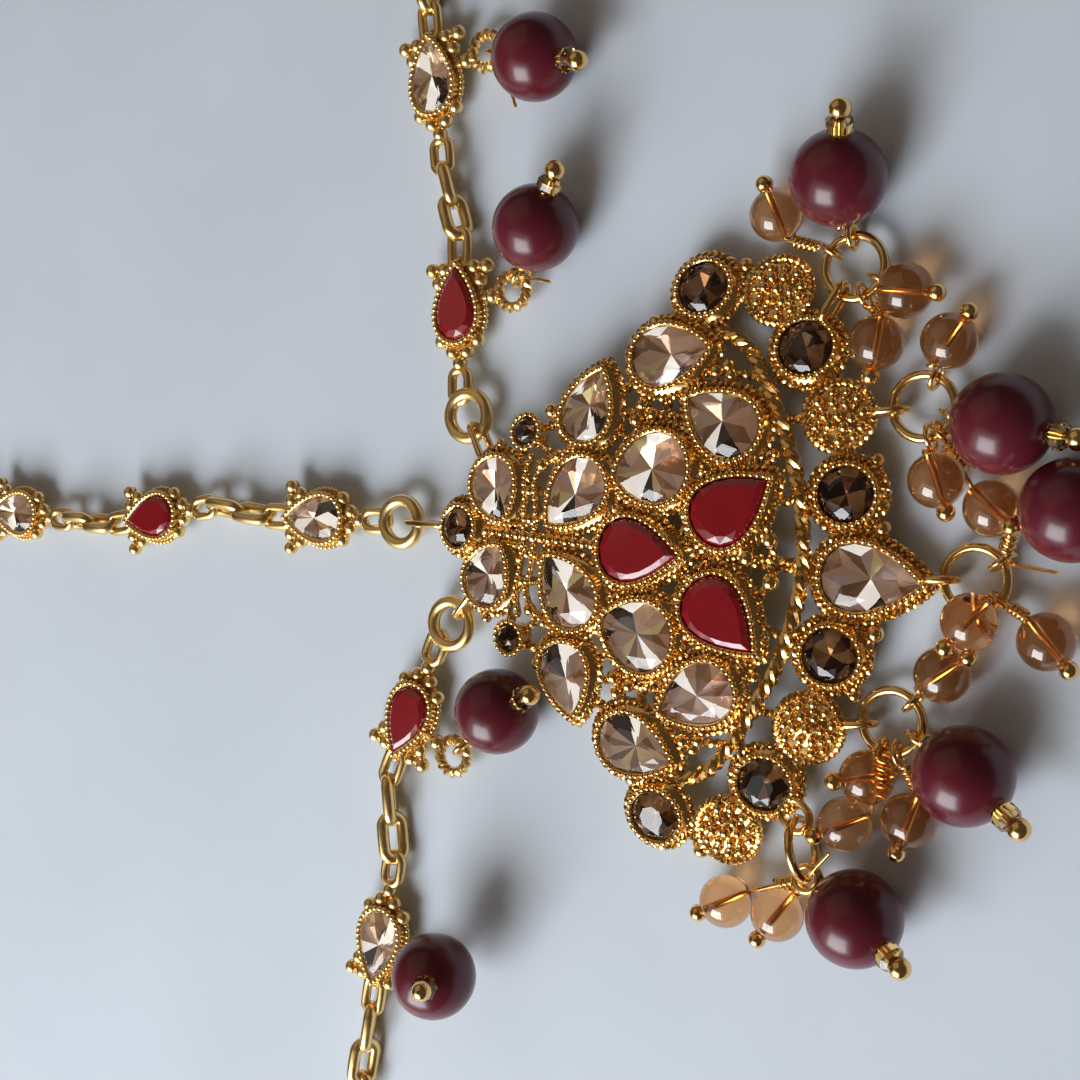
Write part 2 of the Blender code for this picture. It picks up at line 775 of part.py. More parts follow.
def large_drop(centre, heading, rise, hoop_centre, hoop_normal, hoop_radius):
    """A large bead with its spacer, ball and an open eye round the ring that carries it."""
    hooked, tangent = nearest_on_ring(hoop_centre, hoop_normal, hoop_radius, centre)
    inward = (centre - hooked).normalized()
    tail = heading_vector(heading, rise)
    spacer = centre + tail * LARGE_BEAD_RADIUS
    tip = centre + tail * (LARGE_BEAD_RADIUS + SPACER_LENGTH + 0.6 * LARGE_BALL_RADIUS)
    return [
        bead(centre, LARGE_BEAD_RADIUS, BEAD_SIDES, BEAD_RINGS),
        rod(hooked + inward * EYE_RADIUS, centre, SHANK_WIRE, WIRE_SIDES),
        ring(hooked, inward, tangent, EYE_RADIUS, PIN_WIRE, EYE_SIDES),
        rod(spacer - tail * SPACER_LENGTH, spacer + tail * SPACER_LENGTH, SPACER_RADIUS, SPACER_SIDES),
        ball(tip, LARGE_BALL_RADIUS),
    ]


def station_joints(station):
    """Where a station's two end loops hold their links."""
    centre, heading, side_ring = station
    along = heading_vector(heading)
    return centre - along * STATION_ROUND_REACH, centre + along * STATION_TIP_REACH


def side_ring_centre(station):
    centre, heading, side_ring = station
    along = heading_vector(heading)
    left = Vector((-along.y, along.x, 0.0))
    return centre + along * SIDE_RING_ADVANCE + left * side_ring * SIDE_RING_OFFSET


def station_solids(station):
    """A pear setting with its stone, ball clusters, end loops and, if any, side ring."""
    spot, heading, side_ring = station
    along = heading_vector(heading)
    left = Vector((-along.y, along.x, 0.0))
    up = Vector((0.0, 0.0, 1.0))
    frame = Matrix((along, left, up)).transposed().to_4x4()
    frame.translation = Vector((spot.x, spot.y, STATION_BASE))
    girdle = outline(STATION_LENGTH, STATION_WIDTH, 0.9)
    rim = grown(girdle, COLLET_WALL)
    setting = loft(
        (
            level(rim, COLLET_TAPER, 0.0),
            level(rim, 1.0, STATION_HEIGHT),
            level(girdle, 1.0, STATION_HEIGHT - 0.3 * GIRDLE_DEPTH),
            level(girdle, TABLE_SHARE, STATION_HEIGHT + CROWN_HEIGHT),
        )
    )
    solids = [place(setting, frame)]
    height = CHAIN_HEIGHT - STATION_BASE
    tip = 0.5 * STATION_LENGTH
    collar = 1.6 * STATION_BALL_RADIUS
    solids.append(ball(frame @ Vector((-tip - 0.5 * collar, 0.0, height)), STATION_BALL_RADIUS))
    ends = ((-1.0, STATION_ROUND_REACH, tip + collar), (1.0, STATION_TIP_REACH, tip))
    for sign, reach, foot in ends:
        far = reach + LINK_WIRE - 0.5 * LINK_PRESS
        spare = max(far - foot - 2.0 * STATION_LOOP_RADIUS, 0.0)
        middle = sign * (far - STATION_LOOP_RADIUS - 0.5 * spare)
        loop_centre = frame @ Vector((middle, 0.0, height))
        solids.append(ring(loop_centre, along, up, STATION_LOOP_RADIUS, LINK_WIRE, stretch=spare))
    if side_ring:
        centre = side_ring_centre(station)
        solids.append(ring(centre, along, up, SIDE_RING_RADIUS, LINK_WIRE))
        near = centre - left * side_ring * SIDE_RING_RADIUS
        foot = near - left * side_ring * (SIDE_RING_OFFSET - SIDE_RING_RADIUS - 0.3 * STATION_WIDTH)
        solids.append(rod(foot, near, SOLDER_WIRE, WIRE_SIDES))
    return solids


def links_between(start, end, count):
    """Oval links that hook one into the next, each rolled on from the last."""
    solids = []
    step = (end - start) / count
    along = step.normalized()
    flat = Vector((0.0, 0.0, 1.0)).cross(along).normalized()
    for i in range(count):
        roll = math.pi * (i + 1) / (count + 1)
        upright = Matrix.Rotation(roll, 3, along) @ Vector((0.0, 0.0, 1.0))
        middle = start + step * (i + 0.5)
        length = step.length - LINK_PRESS + 2.0 * LINK_WIRE
        half_width = 0.5 * LINK_WIDTH
        solids.append(ring(middle, along, upright, half_width, LINK_WIRE, stretch=length - 2.0 * half_width))
    return solids


def hook(start, along):
    """A plain wire hook with a closed eye on the chain's last link."""
    up = Vector((0.0, 0.0, 1.0))
    left = up.cross(along)
    eye = start + along * (EYE_RADIUS - HOOK_WIRE + 0.5 * LINK_PRESS)
    solids = [ring(eye, along, up, EYE_RADIUS, HOOK_WIRE)]
    neck = eye + along * EYE_RADIUS
    crown = neck + along * HOOK_LENGTH
    points = [neck, crown]
    for i in range(1, HOOK_STEPS + 1):
        turn = math.pi * i / HOOK_STEPS
        points.append(crown + along * HOOK_BEND * math.sin(turn) + left * HOOK_BEND * (1.0 - math.cos(turn)))
    points.append(points[-1] - along * HOOK_TIP)
    solids.append(wire_along(points, HOOK_WIRE))
    return solids


def chain(stations, spare_links, first_ring):
    """One chain from its first ring to its hook, as one body."""
    up = Vector((0.0, 0.0, 1.0))
    solids = [ring(first_ring, station_joints(stations[0])[0] - first_ring, up, CHAIN_RING_RADIUS, LINK_WIRE)]
    previous = None
    for station in stations:
        round_joint, tip_joint = station_joints(station)
        if previous is not None:
            solids.extend(links_between(previous, round_joint, 2))
        solids.extend(station_solids(station))
        previous = tip_joint
    along = heading_vector(stations[-1][1])
    end = previous + along * spare_links * (LINK_WIDTH + 4.0 * LINK_WIRE)
    solids.extend(links_between(previous, end, spare_links))
    solids.extend(hook(end, along))
    return joined(solids)


def set_down(stand, parts):
    """Centres the jewel's footprint on the origin and rests its lowest point at zero."""
    corners = [part.matrix_world @ vertex.co for part in parts for vertex in part.data.vertices]
    middle = [0.5 * (min(c[i] for c in corners) + max(c[i] for c in corners)) for i in (0, 1)]
    stand.location = (-middle[0], -middle[1], -min(c.z for c in corners))


def main():
    for old in list(bpy.data.objects):
        bpy.data.objects.remove(old)
    collection = bpy.data.collections.new("matha_patti")
    bpy.context.scene.collection.children.link(collection)
    stand = bpy.data.objects.new("footprint_centre", None)
    collection.objects.link(stand)
    parts = []

    def add(name, mesh, finish_name):
        parts.append(add_part(name, mesh, finish_name, collection, stand))

    seats = collect_seats()
    add("pendant_frame", pendant_frame(seats), "gold")
    for name, seat in seats.items():
        if seat["colour"] is not None:
            add(name, cut_stone(seat), seat["colour"])

    rings = fringe_rings(seats)
    for name, hoop in rings.items():
        along = hoop["normal"].orthogonal()
        solids = [ring(hoop["centre"], along, hoop["normal"], hoop["radius"], LINK_WIRE, JUMP_RING_SIDES)]
        for owner, bearing, reach, height in SMALL_BEADS:
            if owner == name:
                centre = reached(hoop["centre"], bearing, reach * DROP_REACH, height * SMALL_BEAD_RADIUS)
                solids.extend(small_drop(hoop, centre))
        add("fringe_cluster_" + name, joined(solids), "champagne")
    for owner, bearing, reach, height, heading, rise in LARGE_BEADS:
        hoop = rings[owner]
        centre = reached(hoop["centre"], bearing, reach * DROP_REACH, height * LARGE_BEAD_RADIUS)
        solids = large_drop(centre, heading, rise, hoop["centre"], hoop["normal"], hoop["radius"])
        add("fringe_bead_" + owner, joined(solids), "maroon")

    first_rings = chain_ring_places(seats)
    stations = chain_stations(seats)
    for name, seat, side, route, spare_links in CHAIN_ROUTES:
        add(name, chain(stations[name], spare_links, first_rings[name]), "gold")
    for name, owner, index, bearing, reach, height, heading, rise in CHAIN_BEADS:
        hoop = side_ring_centre(stations[owner][index])
        centre = reached(hoop, bearing, reach * DROP_REACH, height * LARGE_BEAD_RADIUS)
        solids = large_drop(centre, heading, rise, hoop, Vector((0.0, 0.0, 1.0)), SIDE_RING_RADIUS)
        add(name, joined(solids), "maroon")

    bpy.context.view_layer.update()
    set_down(stand, parts)


main()
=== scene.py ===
"""Dresses a matha patti: its gold work, cut stones, glass beads, chains and the stage that it lies on."""

import math
import random
from functools import lru_cache

import bmesh
import bpy
from bpy.props import FloatProperty, FloatVectorProperty, IntProperty, PointerProperty
from bpy.types import Operator, Panel, PropertyGroup
from mathutils import Matrix, Vector


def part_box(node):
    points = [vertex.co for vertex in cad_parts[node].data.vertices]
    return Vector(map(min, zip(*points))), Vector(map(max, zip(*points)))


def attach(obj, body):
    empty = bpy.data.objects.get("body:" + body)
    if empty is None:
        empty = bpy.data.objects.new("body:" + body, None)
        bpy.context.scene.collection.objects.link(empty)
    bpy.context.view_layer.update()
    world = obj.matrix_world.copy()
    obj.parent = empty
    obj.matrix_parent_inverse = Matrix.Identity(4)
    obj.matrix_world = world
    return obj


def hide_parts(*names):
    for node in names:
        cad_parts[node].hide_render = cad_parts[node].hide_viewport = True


bl_info = {
    "name": "Matha Patti Dressing",
    "version": (1, 0, 0),
    "blender": (4, 5, 0),
    "location": "3D View > Sidebar > Matha Patti",
    "description": "Models the gold work, stones, beads and chains of a matha patti",
    "category": "Add Mesh",
}

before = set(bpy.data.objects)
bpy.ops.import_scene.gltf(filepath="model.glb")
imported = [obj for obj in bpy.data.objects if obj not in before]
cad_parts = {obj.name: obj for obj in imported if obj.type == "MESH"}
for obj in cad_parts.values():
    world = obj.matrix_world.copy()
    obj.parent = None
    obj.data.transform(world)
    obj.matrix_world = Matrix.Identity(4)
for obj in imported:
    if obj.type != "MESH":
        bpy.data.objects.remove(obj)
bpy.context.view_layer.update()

MM = 0.001
HALF_WIDTH = 23.4
LENGTH = 40.8
DOME_HEIGHT = 5.5
DOME_DROP = 2.2
DOME_CENTRE_SHARE = 0.44
COLLET_HEIGHT = 2.0
CHAIN_HEIGHT = 1.7

# Girdle length and width in mm of each cut, and how full a pear is
CUTS = {
    "apex_round": (3.6, 3.6, None),
    "small_round": (2.5, 2.5, None),
    "outer_round": (4.5, 4.5, None),
    "short_pear": (5.8, 4.9, 0.5),
    "long_pear": (7.1, 5.25, 0.7),
    "slim_pear": (6.5, 4.8, 0.8),
    "broad_pear": (6.8, 6.1, 0.4),
    "red_pear": (7.7, 5.6, 1.0),
    "tip_pear": (8.0, 5.5, 0.9),
    "station_pear": (7.0, 4.4, 0.9),
}

# Seats of the stones and flowers: name, cut, across and down as shares, heading of the tip, colour
SEATS = (
    ("apex_stone", "apex_round", 0.0, 0.0, 90, "smoky"),
    ("shoulder_stone", "short_pear", 0.172, 0.100, 205, "clear"),
    ("small_stone", "small_round", 0.410, 0.175, 90, "smoky"),
    ("neck_stone", "long_pear", 0.185, 0.326, 140, "clear"),
    ("edge_stone", "slim_pear", 0.530, 0.336, 345, "clear"),
    ("centre_red_stone", "red_pear", 0.0, 0.502, 270, "red"),
    ("inner_stone", "broad_pear", 0.312, 0.512, 105, "clear"),
    ("wing_stone", "long_pear", 0.741, 0.520, 283, "clear"),
    ("lower_red_stone", "red_pear", 0.205, 0.706, 310, "red"),
    ("fan_stone", "long_pear", 0.508, 0.660, 61, "clear"),
    ("outer_stone_1", "outer_round", 0.995, 0.572, 90, "smoky"),
    ("outer_stone_2", "outer_round", 0.792, 0.819, 90, "smoky"),
    ("outer_stone_3", "outer_round", 0.286, 0.942, 90, "smoky"),
    ("tip_stone", "tip_pear", 0.0, 1.008, 270, "clear"),
    ("upper_flower", None, 1.0, 0.738, 90, None),
    ("lower_flower", None, 0.560, 0.906, 90, None),
)
STRUTS = (
    ("apex_stone", "shoulder_stone"),
    ("shoulder_stone", "small_stone"),
    ("shoulder_stone", "neck_stone"),
    ("small_stone", "edge_stone"),
    ("neck_stone", "edge_stone"),
    ("neck_stone", "inner_stone"),
    ("neck_stone", "centre_red_stone"),
    ("edge_stone", "wing_stone"),
    ("edge_stone", "inner_stone"),
    ("inner_stone", "centre_red_stone"),
    ("inner_stone", "lower_red_stone"),
    ("inner_stone", "fan_stone"),
    ("inner_stone", "wing_stone"),
    ("wing_stone", "fan_stone"),
    ("wing_stone", "outer_stone_1"),
    ("centre_red_stone", "lower_red_stone"),
    ("lower_red_stone", "fan_stone"),
    ("fan_stone", "outer_stone_2"),
    ("fan_stone", "lower_flower"),
    ("lower_red_stone", "outer_stone_3"),
    ("outer_stone_1", "upper_flower"),
    ("upper_flower", "outer_stone_2"),
    ("outer_stone_2", "lower_flower"),
    ("lower_flower", "outer_stone_3"),
    ("outer_stone_3", "tip_stone"),
    ("apex_stone", "centre_red_stone"),
    ("centre_red_stone", "tip_stone"),
)
# Half of the rope border from the middle outwards: across, down
ROPE_ROUTE = (
    (0.0, 0.868), (0.18, 0.857), (0.36, 0.829), (0.53, 0.785), (0.68, 0.737), (0.79, 0.688), (0.85, 0.620),
)
# Granules of the pendant in mm: across, down, height above the dome, radius
GRANULES = (
    (0.56, 30.6, -0.5, 0.75), (2.28, 32.4, -0.6, 0.7), (-1.25, 32.8, -0.6, 0.75),
    (20.2, 18.9, -1.0, 0.72), (-20.6, 20.6, -1.0, 0.72), (11.7, 9.3, -0.9, 0.7), (-11.6, 10.3, -0.9, 0.72),
    (25.6, 26.6, -1.1, 0.7), (-26.0, 27.4, -1.1, 0.72), (4.2, 41.6, -1.0, 0.72), (-4.5, 41.8, -1.0, 0.75),
    (9.8, 40.4, -1.2, 0.62), (-9.9, 40.5, -1.2, 0.62),
)
# The same for granules that both sides have
PAIRED_GRANULES = (
    (11.5, 18.6, -0.7, 0.66), (12.9, 18.9, -0.8, 0.62), (12.1, 20.1, -0.8, 0.6), (10.6, 19.8, -0.9, 0.55),
    (16.2, 25.6, -0.9, 0.66), (16.8, 26.6, -1.0, 0.6), (16.0, 27.0, -1.0, 0.6), (6.7, 9.1, -0.7, 0.62),
    (7.7, 10.7, -0.8, 0.55), (4.2, 7.9, -0.8, 0.5), (1.6, 8.3, -0.8, 0.5), (8.3, 3.6, -1.1, 0.5),
    (2.9, 17.9, -0.9, 0.5), (20.6, 33.0, -1.3, 0.62), (3.6, 24.3, -0.9, 0.5), (9.6, 31.9, -1.0, 0.5),
)
# Beaded wires that close the gaps by the neck, on both sides: across and down
WEBS = (
    ((0.9, 3.4), (0.9, 6.0), (1.3, 8.6), (2.6, 10.2)),
    ((0.2, 7.6), (2.8, 7.5), (5.2, 7.1), (7.4, 7.6)),
    ((0.2, 8.9), (2.6, 8.8), (5.0, 8.3), (6.7, 9.1)),
    ((6.7, 9.1), (7.6, 10.6), (8.6, 12.4)),
)
# Wires that carry the granules that stand free: across and down of both ends
CARRIERS = (
    (0.56, 28.6, 0.56, 35.4), (2.28, 32.4, 5.0, 29.8), (-1.25, 32.8, -5.0, 29.8), (-1.25, 32.8, 2.28, 32.4),
    (20.2, 18.9, 18.0, 19.6), (-20.6, 20.6, -18.2, 20.6), (11.7, 9.3, 12.2, 11.8), (-11.6, 10.3, -12.2, 12.4),
    (25.6, 26.6, 23.3, 25.2), (-26.0, 27.4, -23.4, 25.4), (4.2, 41.6, 2.2, 40.8), (-4.5, 41.8, -2.4, 40.8),
    (9.8, 40.4, 8.4, 39.6), (-9.9, 40.5, -8.4, 39.6),
)
# The same for wires that both sides have
PAIRED_CARRIERS = (
    (12.1, 15.2, 12.1, 22.6), (16.6, 22.6, 16.0, 29.6), (10.0, 19.4, 14.6, 19.0), (20.6, 33.0, 20.8, 30.6),
    (8.9, 8.2, 6.4, 10.9), (9.6, 31.9, 7.2, 30.2), (9.6, 31.9, 10.6, 29.4),
)
# Thin ends of the pins that stand out past their eyes: where each one stops, in mm
PIN_TAILS = {
    "fringe_bead_3": (2.3, -56.0, 3.0),
    "fringe_bead_5": (-22.5, -40.7, 5.0),
    "chain_bead_1": (23.5, -6.8, 2.0),
    "chain_bead_2": (39.7, -1.3, 2.0),
}
# Jump rings: name, seat, side, centre in mm, heading and lean of the normal, radius
RINGS = (
    ("1", "outer_stone_2", 1, (25.4, -36.5, 1.6), 0, 0, 2.6),
    ("2", "lower_flower", 1, (14.3, -43.6, 1.6), 0, 0, 2.6),
    ("3", "tip_stone", 0, (0.9, -49.2, 1.4), 0, 0, 2.6),
    ("4", "lower_flower", -1, (-11.5, -43.6, 1.6), 0, 0, 2.6),
    ("5", "outer_stone_2", -1, (-23.2, -37.4, 2.9), 288, 90, 2.5),
)
# Small beads: ring, centre in mm, heading and rise of the pin's ball
SMALL_BEADS = (
    ("1", (29.6, -29.3, 2.3), 26, 8),
    ("1", (23.5, -41.3, 2.3), -93, 6),
    ("1", (19.2, -39.3, 2.3), 180, 12),
    ("2", (19.6, -45.4, 2.3), -33, 8),
    ("2", (8.5, -45.5, 2.3), -153, 12),
    ("2", (6.7, -50.2, 2.3), -120, 30),
    ("3", (-2.3, -49.7, 3.4), 145, 10),
    ("3", (-3.1, -55.5, 2.3), -133, 8),
    ("4", (-6.9, -47.6, 2.3), -51, 12),
    ("4", (-16.3, -42.2, 2.3), 103, 38),
    ("4", (-19.1, -46.1, 2.3), 168, 10),
    ("4", (-20.5, -40.7, 2.3), 120, 14),
    ("5", (-29.4, -30.6, 2.3), 123, 8),
    ("5", (-29.4, -35.5, 2.3), 150, 12),
)
# Large beads: ring, centre in mm, heading and rise of the pin
LARGE_BEADS = (
    ("1", (32.3, -35.3, 4.0), -15, 38),
    ("2", (13.3, -50.8, 4.0), -97, 8),
    ("3", (7.2, -56.8, 4.0), -95, 5),
    ("4", (-14.3, -50.7, 4.0), -119, 16),
    ("5", (-27.6, -43.0, 4.0), -113, 26),
)
# Chains: name, seat, side, stations (x, y, heading, side ring), plain links at the end
CHAINS = (
    ("centre_chain", "apex_stone", 0, ((-1.15, 19.6, 94, 0), (-3.4, 43.3, 103, 0), (-5.2, 66.2, 90, 0)), 1),
    ("right_chain", "shoulder_stone", 1, ((21.2, 3.6, 6, -1), (43.1, 8.8, 12, -1)), 1),
    ("left_chain", "shoulder_stone", -1, ((-19.7, 5.6, 162, 1), (-42.8, 6.9, 175, 1)), 2),
)
STATION_COLOURS = {
    "centre_chain": ("clear", "red", "clear"),
    "right_chain": ("red", "clear"),
    "left_chain": ("red", "clear"),
}
# Large beads of the side chains: node, chain, station, centre in mm, heading and rise
CHAIN_BEADS = (
    ("chain_bead_1", "right_chain", 0, (28.2, -6.0, 4.0), -34, 23),
    ("chain_bead_2", "right_chain", 1, (43.7, -4.3, 4.0), -100, 16),
    ("chain_bead_3", "left_chain", 0, (-16.7, -6.2, 4.0), -63, 23),
    ("chain_bead_4", "left_chain", 1, (-42.3, -3.2, 6.4), -76, 63),
)
# Wires, rings and reaches in mm
LINK_WIRE = 0.4
CHAIN_WIRE = 0.63
LINK_PRESS = 0.34
LINK_HALF_WIDTH = 1.05
CHAIN_RING_RADIUS = 2.15
CHAIN_RING_LIFT = 0.13
ROUND_REACH = 9.2
TIP_REACH = 6.9
LOOP_RADIUS = 0.95
LOOP_WIRE = 0.48
SIDE_RING_RADIUS = 1.6
SIDE_RING_OFFSET = 6.2
SIDE_RING_ADVANCE = 0.8
HOOK_WIRE = 0.55
HOOK_SHANK = 10.0
HOOK_BEND = 1.7
HOOK_RETURN = 4.5
EYELET_RADIUS = 1.1
EYELET_WIRE = 0.35
EYE_RADIUS = 1.05
LARGE_RADIUS = 4.0
SMALL_RADIUS = 2.3
LARGE_BALL = 0.95
SMALL_BALL = 0.78
TAIL_WIRE = 0.16
SEAT_GAP = 0.03
STATION_DEPTH = 2.05
STATION_HEIGHT = 2.6
STATION_SKIRT = 0.45
LINK_PITCH = 2.1
SPACER_RADIUS = 1.25
SPACER_HALF = 1.1
SPACER_REACH = 0.78
COLLET_TAPER = 0.86
STATION_TAPER = 0.9
STRUT_DEPTH = 1.45
STRUT_INSET = 1.2
STRUT_STRAND = 0.26
STRUT_PITCH = 1.6
CARRIER_DEPTH = 1.3
CARRIER_STRAND = 0.24
CARRIER_PITCH = 1.5
WEB_DEPTH = 1.0
WEB_WIRE = 0.26
ROPE_DEPTH = 0.75
ROPE_PITCH = 3.4
SPINE_DEPTH = 0.9
SPINE_STOPS = (3.2, 6.0, 9.0, 12.0, 15.4)
# Granules of a chain's station: ahead and aside
STATION_BALLS = (
    (-4.55, 0.82), (-4.55, -0.82), (-5.7, 0.0), (-3.5, 2.1), (-3.5, -2.1),
    (2.15, 2.45), (3.45, 1.75), (3.45, 3.2), (2.15, -2.45), (3.45, -1.75), (3.45, -3.2),
)
# Profiles of a flower: radius and height
FLOWER_WALL = ((2.2, -2.0), (2.75, -1.9), (2.95, -1.0), (2.75, -0.75), (1.9, -0.7), (1.2, -0.75))
FLOWER_HEART = ((2.5, -1.5), (2.5, -0.95), (1.7, -0.72), (1.0, -0.5), (0.5, -0.42))
# Rings of granules in a flower: count, distance from the middle, height, radius
FLOWER_RINGS = ((11, 2.1, -0.52, 0.46), (6, 1.15, -0.24, 0.46), (1, 0.0, -0.14, 0.5))
# Segments and rings of the round shapes
ROUND_SHAPES = {"grain": (8, 5), "granule": (20, 12), "bead": (64, 40), "spacer": (8, 5)}
SPACER_END = 0.809

# Corners of each kind of stone, ring by ring: share of the facets, turn, size as a share, height in metres
SMALL_FACETS = 12
CULET = -1.2 * MM
GIRDLE = ((1, 0.0, 1.0, -0.12 * MM), (1, 0.0, 1.0, -0.26 * MM))
FACET_RINGS = {
    "red": ((1, 0.5, 0.76, 0.36 * MM), (1, 0.0, 0.93, 0.14 * MM)) + GIRDLE,
    "smoky": ((2, 0.0, 0.50, 0.62 * MM), (2, 0.5, 0.78, 0.38 * MM)) + GIRDLE + ((2, 0.5, 0.62, 0.62 * CULET),),
    "clear": ((2, 0.0, 0.64, 0.52 * MM), (2, 0.5, 0.88, 0.22 * MM)) + GIRDLE + ((2, 0.5, 0.60, 0.56 * CULET),),
}
# Wedges of a clear stone with a painted reflection of the window, white, and of its dark frame, near black: middle and
# reach in degrees, facet value
PAINTED_REFLECTION_WEDGES = ((0.0, 17.0, 0.97), (34.5, 17.5, 0.03), (-150.0, 14.0, 0.95))
# Tints of the foil behind the stones, from the facet value 0 up
SMOKY_TINTS = ((0.20, 0.10, 0.05), (0.62, 0.42, 0.25), (0.06, 0.03, 0.02), (0.85, 0.66, 0.48), (0.16, 0.10, 0.07))
# For the clear stones the first, near black, tint is the painted reflection of the window's dark frame and the last,
# white, tint is the painted reflection of the window; the tints between are the foil's own random tones
CLEAR_TINTS_AND_PAINTED_REFLECTIONS = (
    (0.05, 0.03, 0.02), (0.72, 0.43, 0.28), (0.86, 0.62, 0.46), (0.44, 0.22, 0.11),
    (0.74, 0.49, 0.34), (0.90, 0.74, 0.38), (0.32, 0.17, 0.09), (0.80, 0.56, 0.42),
    (0.62, 0.46, 0.42), (1.0, 1.0, 1.0),
)
HONEY = (1.0, 0.68, 0.26)

# The camera: focal length and picture width in pixels, film width and place in mm, axes to the right, up and back
FOCAL_PIXELS = 1600.0
PICTURE_PIXELS = 1080.0
FILM_WIDTH = 36.0
CAMERA_AXES = ((0.08459, -0.83112, -0.54962), (0.99404, 0.10846, -0.01102), (0.06877, -0.54541, 0.83534))
CAMERA_PLACE = (9.86, -89.43, 126.58)
# Soft lights: name, place in mm, width in m, power in W, colour
SOFTBOXES = (
    ("window", (-500, 130, 370), 0.40, 4.2, (0.93, 0.97, 1.0)),
    ("glow", (-640, 240, 520), 1.0, 2.3, (0.92, 0.97, 1.0)),
    ("wall", (350, 260, 470), 0.70, 0.36, (1.0, 0.80, 0.62)),
)
LIGHT_TARGET = (0.0, -15.0, 0.0)
ROOM_COLOUR = (0.50, 0.405, 0.335, 1.0)
ROOM_STRENGTH = 0.13
FLOOR_SIZE = 3.0
UP = Vector((0.0, 0.0, 1.0))


class JewelSizes(PropertyGroup):
    """Sizes of the fine gold work."""

    grain: FloatProperty(
        name="Milgrain", description="Diameter of one bead of the collars", default=0.56 * MM, unit="LENGTH",
        precision=5,
    )
    granule: FloatProperty(
        name="Granule", description="Diameter of the larger soldered balls", default=1.5 * MM, unit="LENGTH",
        precision=5,
    )
    wall: FloatProperty(
        name="Bezel", description="Thickness of the lip round a stone", default=0.16 * MM, unit="LENGTH", precision=5
    )
    skirt: FloatProperty(
        name="Skirt", description="How far a cup's foot spreads past its lip", default=0.72 * MM, unit="LENGTH",
        precision=5,
    )
    strand: FloatProperty(
        name="Rope Strand", description="Radius of one strand of the rope border", default=0.33 * MM, unit="LENGTH",
        precision=5,
    )
    pin: FloatProperty(
        name="Pin Wire", description="Radius of the head pins' wire", default=0.27 * MM, unit="LENGTH", precision=5
    )
    facets: IntProperty(name="Facets", description="Facets round a large stone's girdle", default=16, min=8, max=24)


class JewelColours(PropertyGroup):
    """Colours of the jewel and its stage."""

    gold: FloatVectorProperty(
        name="Gold", description="Polished yellow gold", default=(0.95, 0.64, 0.24), subtype="COLOR", min=0, max=1
    )
    clear: FloatVectorProperty(
        name="Clear Stones", description="Pale champagne glass", default=(1.0, 0.955, 0.90), subtype="COLOR", min=0,
        max=1,
    )
    smoky: FloatVectorProperty(
        name="Smoky Stones", description="Smoky brown glass", default=(0.44, 0.27, 0.15), subtype="COLOR", min=0, max=1
    )
    red: FloatVectorProperty(
        name="Red Stones", description="Deep opaque red", default=(0.28, 0.006, 0.011), subtype="COLOR", min=0, max=1
    )
    maroon: FloatVectorProperty(
        name="Large Beads", description="Dark maroon glass", default=(0.125, 0.013, 0.023), subtype="COLOR", min=0,
        max=1,
    )
    champagne: FloatVectorProperty(
        name="Small Beads", description="Champagne lustre glass", default=(1.0, 0.56, 0.29), subtype="COLOR", min=0,
        max=1,
    )
    paper: FloatVectorProperty(
        name="Paper", description="Pale cool floor", default=(0.70, 0.76, 0.84), subtype="COLOR", min=0, max=1
    )


def jewel_place():
    """Where the apex of the jewel lies, read from the solids."""
    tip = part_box("tip_stone")
    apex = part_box("apex_stone")
    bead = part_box("fringe_bead_1")
    return Vector((0.5 * (tip[0].x + tip[1].x), 0.5 * (apex[0].y + apex[1].y), bead[0].z))


PLACE = jewel_place()


def at(x, y, z):
    """A point of the jewel, given in mm from its apex."""
    return PLACE + Vector((x, y, z)) * MM


def heading_vector(heading, rise=0.0):
    turn, tilt = math.radians(heading), math.radians(rise)
    return Vector((math.cos(turn) * math.cos(tilt), math.sin(turn) * math.cos(tilt), math.sin(tilt)))


def axes_at(place, ahead, normal):
    """Matrix at a place with X ahead and Z along the normal."""
    normal = Vector(normal).normalized()
    ahead = Vector(ahead)
    ahead = (ahead - normal * ahead.dot(normal)).normalized()
    turned = Matrix((ahead, normal.cross(ahead), normal)).transposed().to_4x4()
    turned.translation = Vector(place)
    return turned


def dome_height(x, y):
    reach = y + DOME_CENTRE_SHARE * LENGTH
    return DOME_HEIGHT - DOME_DROP * (x * x + reach * reach) / HALF_WIDTH ** 2


def dome_frame(x, y, heading=90):
    """Seat on the dome at x and y in mm, X along the heading and Z along the dome's normal."""
    slope = 2.0 * DOME_DROP / HALF_WIDTH ** 2
    normal = Vector((slope * x, slope * (y + DOME_CENTRE_SHARE * LENGTH), 1.0))
    return axes_at(at(x, y, dome_height(x, y)), heading_vector(heading), normal)


def below(place, depth):
    """The point at a depth in mm below a seat's middle."""
    return place @ Vector((0.0, 0.0, -depth * MM))


def beside(along):
    """Two directions square to a line: one that is level, and one over it."""
    side = along.cross(UP)
    if side.length < 0.05:
        side = along.cross(Vector((1.0, 0.0, 0.0)))
    side.normalize()
    return side, side.cross(along)


def both_hands(rows, *columns):
    """Each row and its mirror image, in which these columns change sign."""
    for row in rows:
        yield row
        yield tuple(-value if i in columns else value for i, value in enumerate(row))


def sides_of(across):
    return (1,) if across == 0.0 else (1, -1)


def sided(name, across, side):
    if across == 0.0:
        return name
    return name + ("_right" if side > 0 else "_left")


